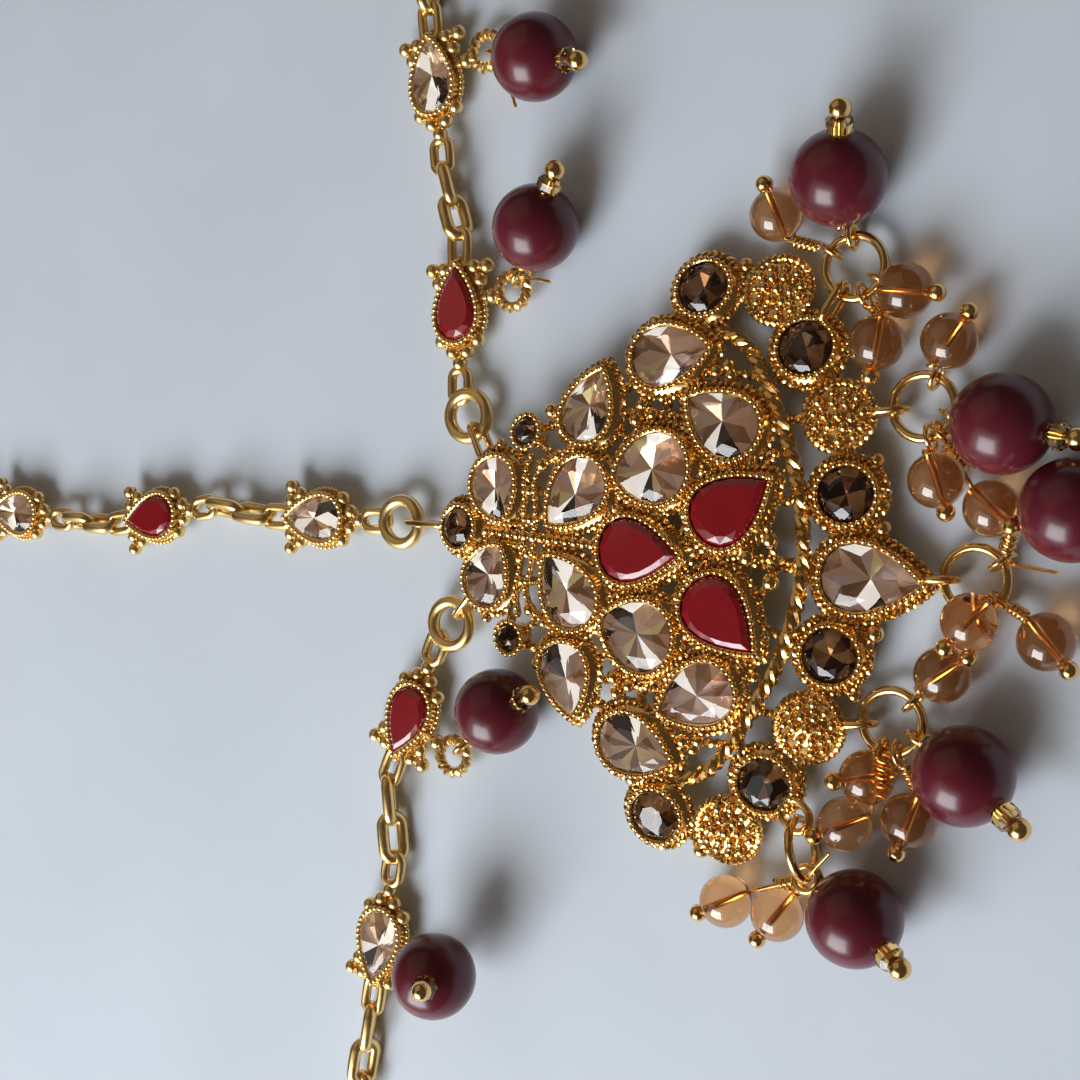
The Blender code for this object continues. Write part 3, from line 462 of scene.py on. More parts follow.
def all_seats():
    """Frame, cut and colour of each seat. A flower has no cut and no colour."""
    seats = {}
    for name, cut, across, down, heading, colour in SEATS:
        for side in sides_of(across):
            turn = heading if side > 0 else 180 - heading
            place = dome_frame(side * across * HALF_WIDTH, -down * LENGTH, turn)
            seats[sided(name, across, side)] = {"frame": place, "cut": cut, "colour": colour}
    return seats


def seat_key(seats, name, side):
    for key in (name, name + ("_right" if side >= 0 else "_left")):
        if key in seats:
            return key
    raise KeyError(name)


def outline(cut, count, turn=0.0, margin=0.0, scale=1.0):
    """Points in metres of a cut's outline, set out by a margin. A pear's tip is at +X."""
    length, width, pear = CUTS[cut]
    points = []
    for i in range(count):
        t = 2.0 * math.pi * (i + turn) / count
        x = 0.5 * length * math.cos(t)
        if pear is None:
            y = 0.5 * width * math.sin(t)
        else:
            widest = math.acos(-pear / (2.0 + pear))
            full = math.sin(widest) * math.sin(0.5 * widest) ** pear
            y = 0.5 * width * math.sin(t) * abs(math.sin(0.5 * t)) ** pear / full
        points.append(Vector((x * scale * MM, y * scale * MM)))
    if margin == 0.0:
        return points
    grown = []
    for i, here in enumerate(points):
        first = (here - points[i - 1]).normalized()
        second = (points[(i + 1) % count] - here).normalized()
        outward = Vector((first.y + second.y, -first.x - second.x)).normalized()
        mitre = margin / max(outward.dot(Vector((first.y, -first.x))), 0.8)
        grown.append(here + outward * mitre)
    return grown


def spaced(points, step, closed=True):
    """Points at equal steps along a route, with their direction."""
    route = list(points) + ([points[0]] if closed else [])
    lengths = [(b - a).length for a, b in zip(route, route[1:])]
    total = sum(lengths)
    count = max(3, round(total / step))
    stride = total / count
    found = []
    index, passed = 0, 0.0
    for i in range(count if closed else count + 1):
        goal = min(i * stride, total - 1e-9)
        while passed + lengths[index] < goal:
            passed += lengths[index]
            index += 1
        a, b = route[index], route[index + 1]
        found.append((a.lerp(b, (goal - passed) / lengths[index]), (b - a).normalized()))
    return found


def smooth_route(points, steps=8):
    """A smooth line through a few points."""
    route = [Vector(p) for p in points]
    result = []
    for i in range(len(route) - 1):
        a = route[max(i - 1, 0)]
        b, c = route[i], route[i + 1]
        d = route[min(i + 2, len(route) - 1)]
        for k in range(steps):
            t = k / steps
            result.append(
                0.5 * ((2.0 * b) + (c - a) * t + (2.0 * a - 5.0 * b + 4.0 * c - d) * t * t
                       + (3.0 * b - a - 3.0 * c + d) * t ** 3)
            )
    result.append(route[-1])
    return result


def taken(made, angle=180.0):
    """Takes an object's mesh, smooth up to an angle, and removes the object."""
    if angle == 180.0:
        bpy.ops.object.shade_smooth()
    elif angle:
        bpy.ops.object.shade_smooth_by_angle(angle=math.radians(angle))
    else:
        bpy.ops.object.shade_flat()
    mesh = made.data
    bpy.data.objects.remove(made)
    return mesh


def turned_outward():
    """Turns all faces of the edited mesh outward and leaves edit mode."""
    bpy.ops.mesh.select_all(action="SELECT")
    bpy.ops.mesh.normals_make_consistent(inside=False)
    bpy.ops.object.mode_set(mode="OBJECT")


def edited_circle(corners):
    """A circle of corners that is open for editing."""
    bpy.ops.object.select_all(action="DESELECT")
    bpy.ops.mesh.primitive_circle_add(vertices=corners, radius=MM, fill_type="NOTHING")
    bpy.ops.object.mode_set(mode="EDIT")
    return bpy.context.active_object


@lru_cache(maxsize=None)
def pattern(name):
    """Round shapes of radius 1 that are modelled once and copied."""
    segments, rings = ROUND_SHAPES[name]
    bpy.ops.object.select_all(action="DESELECT")
    bpy.ops.mesh.primitive_uv_sphere_add(segments=segments, ring_count=rings, radius=1.0)
    if name != "spacer":
        return taken(bpy.context.active_object)
    mesh = taken(bpy.context.active_object, 0.0)
    for vertex in mesh.vertices:
        vertex.co.z = max(-SPACER_END, min(SPACER_END, vertex.co.z))
    return mesh


def sized(place, radius, height=None):
    """Matrix of a copy at a place with a radius."""
    base = place if isinstance(place, Matrix) else Matrix.Translation(place)
    return base @ Matrix.Diagonal((radius, radius, radius if height is None else height, 1.0))


def torus(radius, wire, around=40, across=10, stretch=0.0):
    """A wire ring, or an oval link when stretch parts its halves."""
    bpy.ops.object.select_all(action="DESELECT")
    bpy.ops.mesh.primitive_torus_add(
        major_segments=around, minor_segments=across, major_radius=radius, minor_radius=wire
    )
    mesh = taken(bpy.context.active_object)
    if stretch:
        for vertex in mesh.vertices:
            if abs(vertex.co.x) > 1e-7:
                vertex.co.x += math.copysign(0.5 * stretch, vertex.co.x)
    return mesh


def wire(points, radius, closed=False, resolution=3):
    """A bent wire with round ends."""
    curve = bpy.data.curves.new("wire", "CURVE")
    curve.dimensions = "3D"
    curve.bevel_depth = radius
    curve.bevel_resolution = resolution
    curve.use_fill_caps = not closed
    spline = curve.splines.new("POLY")
    spline.points.add(len(points) - 1)
    for slot, point in zip(spline.points, points):
        slot.co = (*point, 1.0)
    spline.use_cyclic_u = closed
    holder = bpy.data.objects.new("wire", curve)
    bpy.context.scene.collection.objects.link(holder)
    bpy.ops.object.select_all(action="DESELECT")
    bpy.context.view_layer.objects.active = holder
    holder.select_set(True)
    bpy.ops.object.convert(target="MESH")
    bpy.ops.object.mode_set(mode="EDIT")
    bpy.ops.mesh.select_all(action="SELECT")
    bpy.ops.mesh.remove_doubles(threshold=1e-7)
    turned_outward()
    return taken(bpy.context.active_object, 50.0)


def twisted(points, strand, pitch, closed=False, strands=2, offset=None, fineness=7.0):
    """Wires twisted round a route."""
    offset = strand if offset is None else offset
    steps = spaced(points, pitch / fineness, closed)
    turns = len(steps) / fineness
    if closed:
        turns = max(1, round(turns))
    made = []
    for number in range(strands):
        line = []
        for i, (place, along) in enumerate(steps):
            side, over = beside(along)
            turn = 2.0 * math.pi * (turns * i / len(steps) + number / strands)
            line.append(place + (side * math.cos(turn) + over * math.sin(turn)) * offset)
        made.append(wire(line, strand, closed, 1))
    return made


def walls(sections):
    """A closed wall raised loop by loop from a circle that is drawn out to each section."""
    made = edited_circle(len(sections[0]))
    shape = bmesh.from_edit_mesh(made.data)
    order = shape.verts.layers.int.new("order")
    for i, vertex in enumerate(shape.verts):
        vertex[order] = i
    for number, section in enumerate(sections):
        if number:
            bpy.ops.mesh.extrude_region_move(TRANSFORM_OT_translate={"value": (0.0, 0.0, 0.0)})
            shape = bmesh.from_edit_mesh(made.data)
            order = shape.verts.layers.int["order"]
        for vertex in shape.verts:
            if vertex.select:
                vertex.co = section[vertex[order]]
    bpy.ops.mesh.select_all(action="DESELECT")
    for edge in shape.edges:
        if edge.is_boundary:
            edge.select = True
    bmesh.update_edit_mesh(made.data)
    bpy.ops.mesh.bridge_edge_loops()
    turned_outward()
    return taken(made, 32.0)


def hull(points):
    """Facets stretched over a set of points."""
    made = edited_circle(len(points))
    shape = bmesh.from_edit_mesh(made.data)
    for vertex, point in zip(shape.verts, points):
        vertex.co = point
    bmesh.update_edit_mesh(made.data)
    bpy.ops.mesh.select_all(action="SELECT")
    bpy.ops.mesh.delete(type="EDGE_FACE")
    bpy.ops.mesh.select_all(action="SELECT")
    bpy.ops.mesh.convex_hull(face_threshold=math.radians(1.0), shape_threshold=math.radians(1.0))
    turned_outward()
    return taken(made, 0.0)


def gathered(name, copies, finishes, nodes):
    """One piece from placed copies of patterns, each copy with its own mesh, in place of some nodes."""
    work = bmesh.new()
    for shape, place in copies:
        copy = shape.copy()
        if place is not None:
            copy.transform(place)
        work.from_mesh(copy)
        bpy.data.meshes.remove(copy)
    mesh = bpy.data.meshes.new(name)
    work.to_mesh(mesh)
    work.free()
    for finish in finishes:
        mesh.materials.append(finish)
    piece = bpy.data.objects.new(name, mesh)
    bpy.context.scene.collection.objects.link(piece)
    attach(piece, "root")
    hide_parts(*nodes)


def pendant_gold(name, copies):
    gathered(name, copies, [gold_finish()], ["pendant_frame"])


def new_finish(name, **constants):
    """A material with constants on its shader. An underscore in a constant stands for a space in its socket."""
    finish = bpy.data.materials.new(name)
    finish.use_nodes = True
    shader = finish.node_tree.nodes["Principled BSDF"]
    for socket, value in constants.items():
        shader.inputs[socket.replace("_", " ")].default_value = value
    return finish, finish.node_tree, shader


def object_noise(tree, scale, detail=3.0):
    """The value of a noise that lies still in the object."""
    place = tree.nodes.new("ShaderNodeTexCoord")
    noise = tree.nodes.new("ShaderNodeTexNoise")
    noise.inputs["Scale"].default_value = scale
    noise.inputs["Detail"].default_value = detail
    tree.links.new(place.outputs["Object"], noise.inputs["Vector"])
    return noise.outputs["Fac"]


def facet_value(tree):
    facet = tree.nodes.new("ShaderNodeAttribute")
    facet.attribute_name = "facet"
    return facet.outputs["Fac"]


def ramp_into(socket, source, stops, stepped=False):
    """Colours a socket by a value, through stops of share and colour."""
    tree = socket.id_data
    ramp = tree.nodes.new("ShaderNodeValToRGB")
    while len(ramp.color_ramp.elements) < len(stops):
        ramp.color_ramp.elements.new(0.5)
    for element, (share, colour) in zip(ramp.color_ramp.elements, stops):
        element.position = share
        element.color = (*colour, 1.0)
    if stepped:
        ramp.color_ramp.interpolation = "CONSTANT"
    tree.links.new(source, ramp.inputs["Fac"])
    tree.links.new(ramp.outputs["Color"], socket)


def shade(colour, by):
    return tuple(min(1.0, c * by) for c in colour)


@lru_cache(maxsize=None)
def gold_finish(name="polished_gold", light=1.0, dull=0.0):
    """Gold whose polish wears a little. Light pales its colour, a painted highlight that stands in for the window's
    reflection, and dull adds to its roughness.
    """
    # Painted highlight: light above 1 makes a paler copy of the gold, and pales its blue twice over
    red, green, blue = shade(bpy.context.scene.jewel_colours.gold, light)
    blue *= light
    finish, tree, shader = new_finish(name, Metallic=1.0, Coat_Weight=0.8, Coat_Roughness=0.06)
    stops = ((0.3, (red * 0.93, green * 0.84, blue * 0.68)), (0.7, (red, green, blue)))
    ramp_into(shader.inputs["Base Color"], object_noise(tree, 420.0), stops)
    rough = tree.nodes.new("ShaderNodeMapRange")
    rough.inputs["To Min"].default_value = 0.09 + dull
    rough.inputs["To Max"].default_value = 0.25 + dull
    tree.links.new(object_noise(tree, 1500.0, 4.0), rough.inputs["Value"])
    tree.links.new(rough.outputs["Result"], shader.inputs["Roughness"])
    bump = tree.nodes.new("ShaderNodeBump")
    bump.inputs["Strength"].default_value = 0.22
    bump.inputs["Distance"].default_value = 0.05 * MM
    tree.links.new(object_noise(tree, 900.0, 2.0), bump.inputs["Height"])
    tree.links.new(bump.outputs["Normal"], shader.inputs["Normal"])
    return finish


@lru_cache(maxsize=None)
def glass_finish(name, colour, roughness=0.0):
    """Clear cut glass, polished smooth."""
    return new_finish(name, Base_Color=(*colour, 1.0), Transmission_Weight=1.0, IOR=1.62, Roughness=roughness)[0]


@lru_cache(maxsize=None)
def foil_finish(name, tints, glow):
    """Bright foil behind a stone, with a tint for each facet. The facets with the painted window reflection also glow,
    a painted glow that stands in for the window's reflection.
    """
    finish, tree, shader = new_finish(name, Metallic=0.35, Roughness=0.12, Emission_Strength=glow)
    stops = [(i / len(tints), tint) for i, tint in enumerate(tints)]
    ramp_into(shader.inputs["Base Color"], facet_value(tree), stops, True)
    # Painted glow: facets with a value from 0.9 up, the painted window reflection, emit a pale light
    if glow:
        painted_reflection = ((0.0, (0.0, 0.0, 0.0)), (0.9, (1.0, 0.97, 0.92)))
        ramp_into(shader.inputs["Emission Color"], facet_value(tree), painted_reflection, True)
    return finish


@lru_cache(maxsize=None)
def red_finish(colour):
    """Opaque red glass, a little cloudy, with facets that differ in tone."""
    finish, tree, shader = new_finish("red_glass", Roughness=0.16, IOR=1.6, Coat_Weight=0.6, Coat_Roughness=0.04)
    mix = tree.nodes.new("ShaderNodeMix")
    mix.data_type = "RGBA"
    mix.blend_type = "MULTIPLY"
    mix.inputs["Factor"].default_value = 0.35
    ramp_into(mix.inputs[6], facet_value(tree), ((0.0, shade(colour, 0.75)), (1.0, shade(colour, 1.25))))
    ramp_into(mix.inputs[7], object_noise(tree, 700.0, 2.0), ((0.3, (0.55, 0.5, 0.5)), (0.7, (1.0, 1.0, 1.0))))
    tree.links.new(mix.outputs[2], shader.inputs["Base Color"])
    return finish


def stone_finishes(colour):
    colours = bpy.context.scene.jewel_colours
    if colour == "red":
        return [red_finish(tuple(colours.red))]
    if colour == "smoky":
        return [glass_finish("smoky_glass", tuple(colours.smoky)), foil_finish("smoky_foil", SMOKY_TINTS, 0.0)]
    # The clear foil glows at strength 0.55 with its painted window reflection
    return [glass_finish("clear_glass", tuple(colours.clear)), foil_finish("clear_foil_painted_reflections", CLEAR_TINTS_AND_PAINTED_REFLECTIONS, 0.55)]


def cut_stone(cut, colour, seed, lit=None):
    """A stone with a table and crown facets above, and facets that meet in a point below."""
    count = SMALL_FACETS if CUTS[cut][0] < 3.0 else bpy.context.scene.jewel_sizes.facets
    points = []
    for share, turn, scale, height in FACET_RINGS[colour]:
        for point in outline(cut, count // share, turn, 0.0, scale):
            points.append(Vector((point.x, point.y, height)))
    points.append(Vector((0.0, 0.0, CULET)))
    mesh = hull(points)
    chance = random.Random(seed)
    facet = mesh.attributes.new("facet", "FLOAT", "FACE")
    lit = chance.uniform(0.0, 360.0) if lit is None else lit
    for face in mesh.polygons:
        value = chance.uniform(0.1, 0.9)
        if colour == "red" and face.normal.z > 0.985:
            value = 0.5
        # Painted reflection: a clear stone's facets towards its lit side take the facet values of the painted window
        # and its dark frame
        if colour == "clear":
            turn = (math.degrees(math.atan2(face.center.y, face.center.x)) - lit + 180.0) % 360.0 - 180.0
            for middle, reach, painted_reflection in PAINTED_REFLECTION_WEDGES:
                if abs(turn - middle) < reach:
                    value = painted_reflection
        facet.data[face.index].value = value
        if colour != "red" and face.normal.z < -0.02 and face.center.z < -0.2 * MM:
            face.material_index = 1
    return mesh


def collet_wall(cut, depth, taper, skirt):
    """The lip and tapered wall round a stone, with its floor's seat left open inside."""
    inner = SEAT_GAP * MM
    outer = inner + bpy.context.scene.jewel_sizes.wall
    levels = [
        (inner, -0.55 * MM, 1.0),
        (inner, -0.02 * MM, 1.0),
        (0.5 * (inner + outer), 0.05 * MM, 1.0),
        (outer, -0.04 * MM, 1.0),
        (outer, -0.45 * MM, 1.0),
    ]
    if skirt:
        levels += [
            (outer + 0.5 * skirt, -0.95 * MM, 1.0),
            (outer + skirt, -1.1 * MM, 1.0),
            (outer + skirt, -1.5 * MM, 1.0),
            (outer + 0.3 * skirt, -1.62 * MM, 1.0),
        ]
    levels += [(outer, depth, taper), (inner, depth, taper)]
    sections = []
    for margin, height, scale in levels:
        loop = outline(cut, 48, 0.0, margin)
        sections.append([Vector((p.x * scale, p.y * scale, height)) for p in loop])
    return walls(sections)


def floor_plate(cut, depth):
    """The plate that closes a cup below its stone."""
    loop = outline(cut, 24, 0.0, 0.2 * MM, 0.9)
    return hull([Vector((p.x, p.y, h)) for h in (depth, depth + 0.4 * MM) for p in loop])


def milgrain(cut, margin, height, diameter):
    """Places of the beads of a collar round a stone."""
    route = outline(cut, 96, 0.0, margin)
    return [Vector((p.x, p.y, height)) for p, along in spaced(route, diameter)]


def collar_rope(cut, margin):
    """Two strands that lie on the foot of a cup."""
    return twisted([Vector((p.x, p.y, -1.12 * MM)) for p in outline(cut, 96, 0.0, margin)], 0.2 * MM, 1.25 * MM, True)


class JEWEL_OT_stones(Operator):
    """Cuts every stone of the pendant."""

    bl_idname = "jewel.stones"
    bl_label = "Pendant Stones"

    def execute(self, context):
        for number, (key, seat) in enumerate(all_seats().items()):
            place, cut, colour = seat["frame"], seat["cut"], seat["colour"]
            if cut is None:
                continue
            # Each stone's lit side, which sets where the painted window reflection falls on a clear stone
            side = place.translation.x - PLACE.x
            inward = place.to_3x3().inverted() @ Vector((-1.0 if side > -0.001 else 1.0, 0.25, 0.0))
            lit = math.degrees(math.atan2(inward.y, inward.x)) + 12.0 * ((number * 7) % 5 - 2)
            stone = cut_stone(cut, colour, number, lit)
            gathered(key + "_cut", [(stone, place)], stone_finishes(colour), [key])
        return {"FINISHED"}


class JEWEL_OT_collets(Operator):
    """Raises the bezel cups and their milgrain collars."""

    bl_idname = "jewel.collets"
    bl_label = "Collets"

    def execute(self, context):
        sizes = context.scene.jewel_sizes
        made, cups, grains, ropes = {}, [], [], []
        for seat in all_seats().values():
            place, cut = seat["frame"], seat["cut"]
            if cut is None:
                continue
            if cut not in made:
                skirt = 0.0 if cut == "small_round" else sizes.skirt
                depth = -COLLET_HEIGHT * MM
                cup = (collet_wall(cut, depth, COLLET_TAPER, skirt), floor_plate(cut, depth))
                made[cut] = (cup, collar_rope(cut, 0.1 * MM + sizes.wall + skirt) if skirt else ())
            cup, rope = made[cut]
            cups += [(shape, place) for shape in cup]
            ropes += [(strand, place) for strand in rope]
            collar = SEAT_GAP * MM + sizes.wall + 0.2 * sizes.grain
            for spot in milgrain(cut, collar, -0.1 * MM, sizes.grain):
                grains.append((pattern("grain"), sized(place @ spot, 0.52 * sizes.grain)))
        pendant_gold("pendant_collets", cups)
        pendant_gold("pendant_milgrain", grains)
        pendant_gold("pendant_collars", ropes)
        return {"FINISHED"}


class JEWEL_OT_openwork(Operator):
    """Lays the struts, the spine, the rope border and the granules."""

    bl_idname = "jewel.openwork"
    bl_label = "Openwork"

    def execute(self, context):
        sizes = context.scene.jewel_sizes
        seats = all_seats()
        strands, done = [], set()
        for start, end in STRUTS:
            for side in (1, -1):
                pair = (seat_key(seats, start, side), seat_key(seats, end, side))
                if pair in done:
                    continue
                done.add(pair)
                first, last = [below(seats[key]["frame"], STRUT_DEPTH) for key in pair]
                inset = (last - first).normalized() * STRUT_INSET * MM
                strands += twisted([first + inset, last - inset], STRUT_STRAND * MM, STRUT_PITCH * MM)
        for x1, y1, x2, y2 in (*CARRIERS, *both_hands(PAIRED_CARRIERS, 0, 2)):
            ends = [below(dome_frame(x, -y), CARRIER_DEPTH) for x, y in ((x1, y1), (x2, y2))]
            strands += twisted(ends, CARRIER_STRAND * MM, CARRIER_PITCH * MM)
        grains = []
        spine = [dome_frame(0.0, -y).translation - UP * SPINE_DEPTH * MM for y in SPINE_STOPS]
        for place, along in spaced(smooth_route(spine), 0.95 * MM, False):
            grains.append(sized(place, 0.6 * MM))
        for web in WEBS:
            for hand in (1.0, -1.0):
                route = smooth_route([below(dome_frame(hand * x, -y), WEB_DEPTH) for x, y in web])
                strands.append(wire(route, WEB_WIRE * MM))
                for place, along in spaced(route, 0.66 * MM, False):
                    grains.append(sized(place + 0.22 * MM * UP, 0.34 * MM))
        border = [(-across, down) for across, down in reversed(ROPE_ROUTE[1:])] + list(ROPE_ROUTE)
        route = smooth_route([below(dome_frame(a * HALF_WIDTH, -d * LENGTH), ROPE_DEPTH) for a, d in border])
        strands += twisted(route, sizes.strand, ROPE_PITCH * MM, False, 3, 1.1 * sizes.strand, 18.0)
        copies = [(strand, None) for strand in strands] + [(pattern("grain"), place) for place in grains]
        pendant_gold("pendant_openwork", copies)
        balls = []
        for across, down, lift, radius in (*GRANULES, *both_hands(PAIRED_GRANULES, 0)):
            place = below(dome_frame(across, -down), -lift)
            balls.append((pattern("granule"), sized(place, radius * sizes.granule / 1.5)))
        pendant_gold("pendant_granules", balls)
        return {"FINISHED"}


class JEWEL_OT_flowers(Operator):
    """Builds the four flower rosettes from rope, granules and a domed heart."""

    bl_idname = "jewel.flowers"
    bl_label = "Flowers"

    def execute(self, context):
        copies = []
        chance = random.Random(7)
        rim = [Vector((math.cos(t), math.sin(t), 0.0)) for t in [2.0 * math.pi * i / 48 for i in range(48)]]
        solid = [
            walls([[p * r * MM + UP * z * MM for p in rim] for r, z in FLOWER_WALL]),
            hull([p * r * MM + UP * z * MM for r, z in FLOWER_HEART for p in rim[::2]]),
            *twisted([p * 2.82 * MM - UP * 0.72 * MM for p in rim], 0.24 * MM, 1.1 * MM, True),
        ]
        for seat in all_seats().values():
            if seat["cut"] is not None:
                continue
            place = seat["frame"]
            copies += [(shape, place) for shape in solid]
            for count, reach, lift, radius in FLOWER_RINGS:
                for i in range(count):
                    turn = 2.0 * math.pi * (i + chance.uniform(-0.12, 0.12)) / count
                    out = reach + chance.uniform(-0.08, 0.08) * (reach > 0.0)
                    spot = Vector((math.cos(turn) * out, math.sin(turn) * out, lift + chance.uniform(-0.06, 0.1)))
                    ball = sized(place @ (spot * MM), radius * chance.uniform(0.86, 1.1) * MM)
                    copies.append((pattern("granule"), ball))
            for i in range(9):
                turn = 2.0 * math.pi * (i + 0.5) / 9
                spot = Vector((math.cos(turn) * 1.62, math.sin(turn) * 1.62, -0.42))
                copies.append((pattern("grain"), sized(place @ (spot * MM), 0.3 * MM)))
        pendant_gold("pendant_flowers", copies)
        return {"FINISHED"}


def fringe_hoops():
    """Seat, side and hoop of each jump ring. A hoop is a centre, a normal and a radius."""
    return {
        name: (seat, side, (at(*centre), heading_vector(heading, 90.0 - lean), radius * MM))
        for name, seat, side, centre, heading, lean, radius in RINGS
    }


def nearest_on_hoop(hoop, target):
    """The point of a hoop that is nearest to a target, and the hoop's direction there."""
    centre, normal, radius = hoop
    spoke = target - centre
    spoke = (spoke - normal * spoke.dot(normal)).normalized()
    return centre + radius * spoke, normal.cross(spoke)


def station_joints(station):
    """Where the links of a chain take hold of a station, at its round end and at its tip."""
    x, y, heading = station[:3]
    along = heading_vector(heading)
    centre = at(x, y, CHAIN_HEIGHT)
    return centre - along * ROUND_REACH * MM, centre + along * TIP_REACH * MM


def chain_ring_place(seats, route):
    """Centre of the ring that joins a chain to its seat."""
    name, seat, side, stations, spare = route
    joint = station_joints(stations[0])[0]
    base = seats[seat_key(seats, seat, side)]["frame"].translation.copy()
    base.z = joint.z
    away = (joint - base).normalized()
    return joint - away * (CHAIN_RING_RADIUS - LINK_WIRE + 0.5 * LINK_PRESS) * MM + UP * CHAIN_RING_LIFT * MM


def wall_reach(seat, target):
    """How far a seat's wall stands from its middle, towards a target."""
    aim = seat["frame"].inverted() @ target
    ahead = Vector((aim.x, aim.y)).normalized()
    if seat["cut"] is None:
        return 2.6 * MM
    return max(p.dot(ahead) for p in outline(seat["cut"], 48, 0.0, 0.3 * MM)) * 0.94


def eyelet(seat, hoop):
    """A soldered loop that reaches from a seat's wall round a ring's wire."""
    base = below(seat["frame"], 0.5 * COLLET_HEIGHT)
    hooked, tangent = nearest_on_hoop(hoop, base)
    foot = base + (hooked - base).normalized() * wall_reach(seat, hooked)
    away = hooked - foot
    away = (away - tangent * away.dot(tangent)).normalized()
    far = hooked + away * EYELET_RADIUS * MM
    spare = max((far - foot).length - 2.0 * EYELET_RADIUS * MM, 0.0)
    middle = far - away * (EYELET_RADIUS * MM + 0.5 * spare)
    return torus(EYELET_RADIUS * MM, EYELET_WIRE * MM, 32, 10, spare), axes_at(middle, away, tangent)


class JEWEL_OT_eyelets(Operator):
    """Solders the loops that carry the chains and the fringe."""

    bl_idname = "jewel.eyelets"
    bl_label = "Eyelets"

    def execute(self, context):
        seats = all_seats()
        copies = []
        for name, side, hoop in fringe_hoops().values():
            copies.append(eyelet(seats[seat_key(seats, name, side)], hoop))
        for route in CHAINS:
            hoop = (chain_ring_place(seats, route), UP, CHAIN_RING_RADIUS * MM)
            copies.append(eyelet(seats[seat_key(seats, route[1], route[2])], hoop))
        pendant_gold("pendant_eyelets", copies)
        return {"FINISHED"}


def coil(start, end, radius, gauge, turns):
    """Wire wrapped round a pin from start to end."""
    side, over = beside((end - start).normalized())
    points = []
    count = int(turns * 14)
    for i in range(count + 1):
        turn = 2.0 * math.pi * turns * i / count
        points.append(start.lerp(end, i / count) + (side * math.cos(turn) + over * math.sin(turn)) * radius)
    return wire(points, gauge, False, 2)


def drop_wires(centre, radius, tail, hooked, tangent, pin, ball, tail_reach):
    """The eye round a ring, the wrapped neck, the pin through a bead and its end ball."""
    entry = centre - tail * radius
    toward = (entry - hooked).normalized()
    neck = hooked + toward * EYE_RADIUS * MM
    span = (entry - neck).length
    turns = max(2.0, min(5.0, span / (2.1 * pin)))
    wrap_end = neck + toward * min(span * 0.92, turns * 2.1 * pin)
    bend = [neck, neck.lerp(entry, 0.5) + span * 0.08 * UP, entry, centre - tail * (radius * 0.8)]
    return [
        (torus(EYE_RADIUS * MM, pin, 28, 8), axes_at(hooked, toward, tangent)),
        (wire(smooth_route(bend, 6), pin, False, 2), None),
        (coil(neck + toward * 0.3 * pin, wrap_end, 1.75 * pin, 0.85 * pin, turns), None),
        (wire([centre - tail * radius * 0.9, centre + tail * tail_reach], pin, False, 2), None),
        (pattern("granule"), sized(centre + tail * (tail_reach + 0.4 * ball), ball)),
    ]


def cloudy_finish(name, colour, dark, **constants):
    """Bead glass whose colour clouds a little."""
    finish, tree, shader = new_finish(name, **constants)
    stops = ((0.3, shade(colour, dark)), (0.7, shade(colour, 1.08)))
    ramp_into(shader.inputs["Base Color"], object_noise(tree, 260.0), stops)
    return finish


@lru_cache(maxsize=None)
def champagne_finish(colour):
    return cloudy_finish(
        "champagne_glass", colour, 0.93, Transmission_Weight=0.97, Roughness=0.0, IOR=1.58, Coat_Weight=0.5,
        Coat_Roughness=0.04, Coat_IOR=1.6, Coat_Tint=(1.0, 0.92, 0.78, 1.0),
    )


@lru_cache(maxsize=None)
def maroon_finish(colour):
    return cloudy_finish(
        "maroon_glass", colour, 0.8, Roughness=0.24, IOR=1.46, Coat_Weight=0.12, Coat_Roughness=0.1
    )


def bored_bead(radius, bore):
    """A bead with its hole drawn in at both poles."""
    mesh = pattern("bead").copy()
    mouth = 2.2 * bore / radius
    for vertex in mesh.vertices:
        flat = math.hypot(vertex.co.x, vertex.co.y)
        if flat < mouth:
            vertex.co.z *= 1.0 - 0.10 * (1.0 - flat / mouth) ** 1.5
    return mesh


class JEWEL_OT_fringe(Operator):
    """Hangs the jump rings, small beads and large beads of the fringe."""

    bl_idname = "jewel.fringe"
    bl_label = "Fringe"

    def execute(self, context):
        pin = 0.85 * context.scene.jewel_sizes.pin
        finish = champagne_finish(tuple(context.scene.jewel_colours.champagne))
        bead = bored_bead(SMALL_RADIUS, 0.35)
        hoops = {name: hoop for name, (seat, side, hoop) in fringe_hoops().items()}
        for name, hoop in hoops.items():
            middle, normal, radius = hoop
            metal = [(torus(radius, LINK_WIRE * MM, 64, 14), axes_at(middle, normal.orthogonal(), normal))]
            beads = []
            for owner, centre, heading, rise in SMALL_BEADS:
                if owner != name:
                    continue
                place, tail = at(*centre), heading_vector(heading, rise)
                hooked, tangent = nearest_on_hoop(hoop, place)
                reach = (SMALL_RADIUS + 0.2) * MM
                metal += drop_wires(place, SMALL_RADIUS * MM, tail, hooked, tangent, pin, SMALL_BALL * MM, reach)
                beads.append((bead, sized(axes_at(place, tail.orthogonal(), tail), SMALL_RADIUS * MM)))
            node = "fringe_cluster_" + name
            gathered("fringe_wires_" + name, metal, [gold_finish()], [node])
            gathered("fringe_small_beads_" + name, beads, [finish], [node])
        for owner, centre, heading, rise in LARGE_BEADS:
            large_drop(context, "fringe_bead_" + owner, centre, heading, rise, hoops[owner])
        return {"FINISHED"}


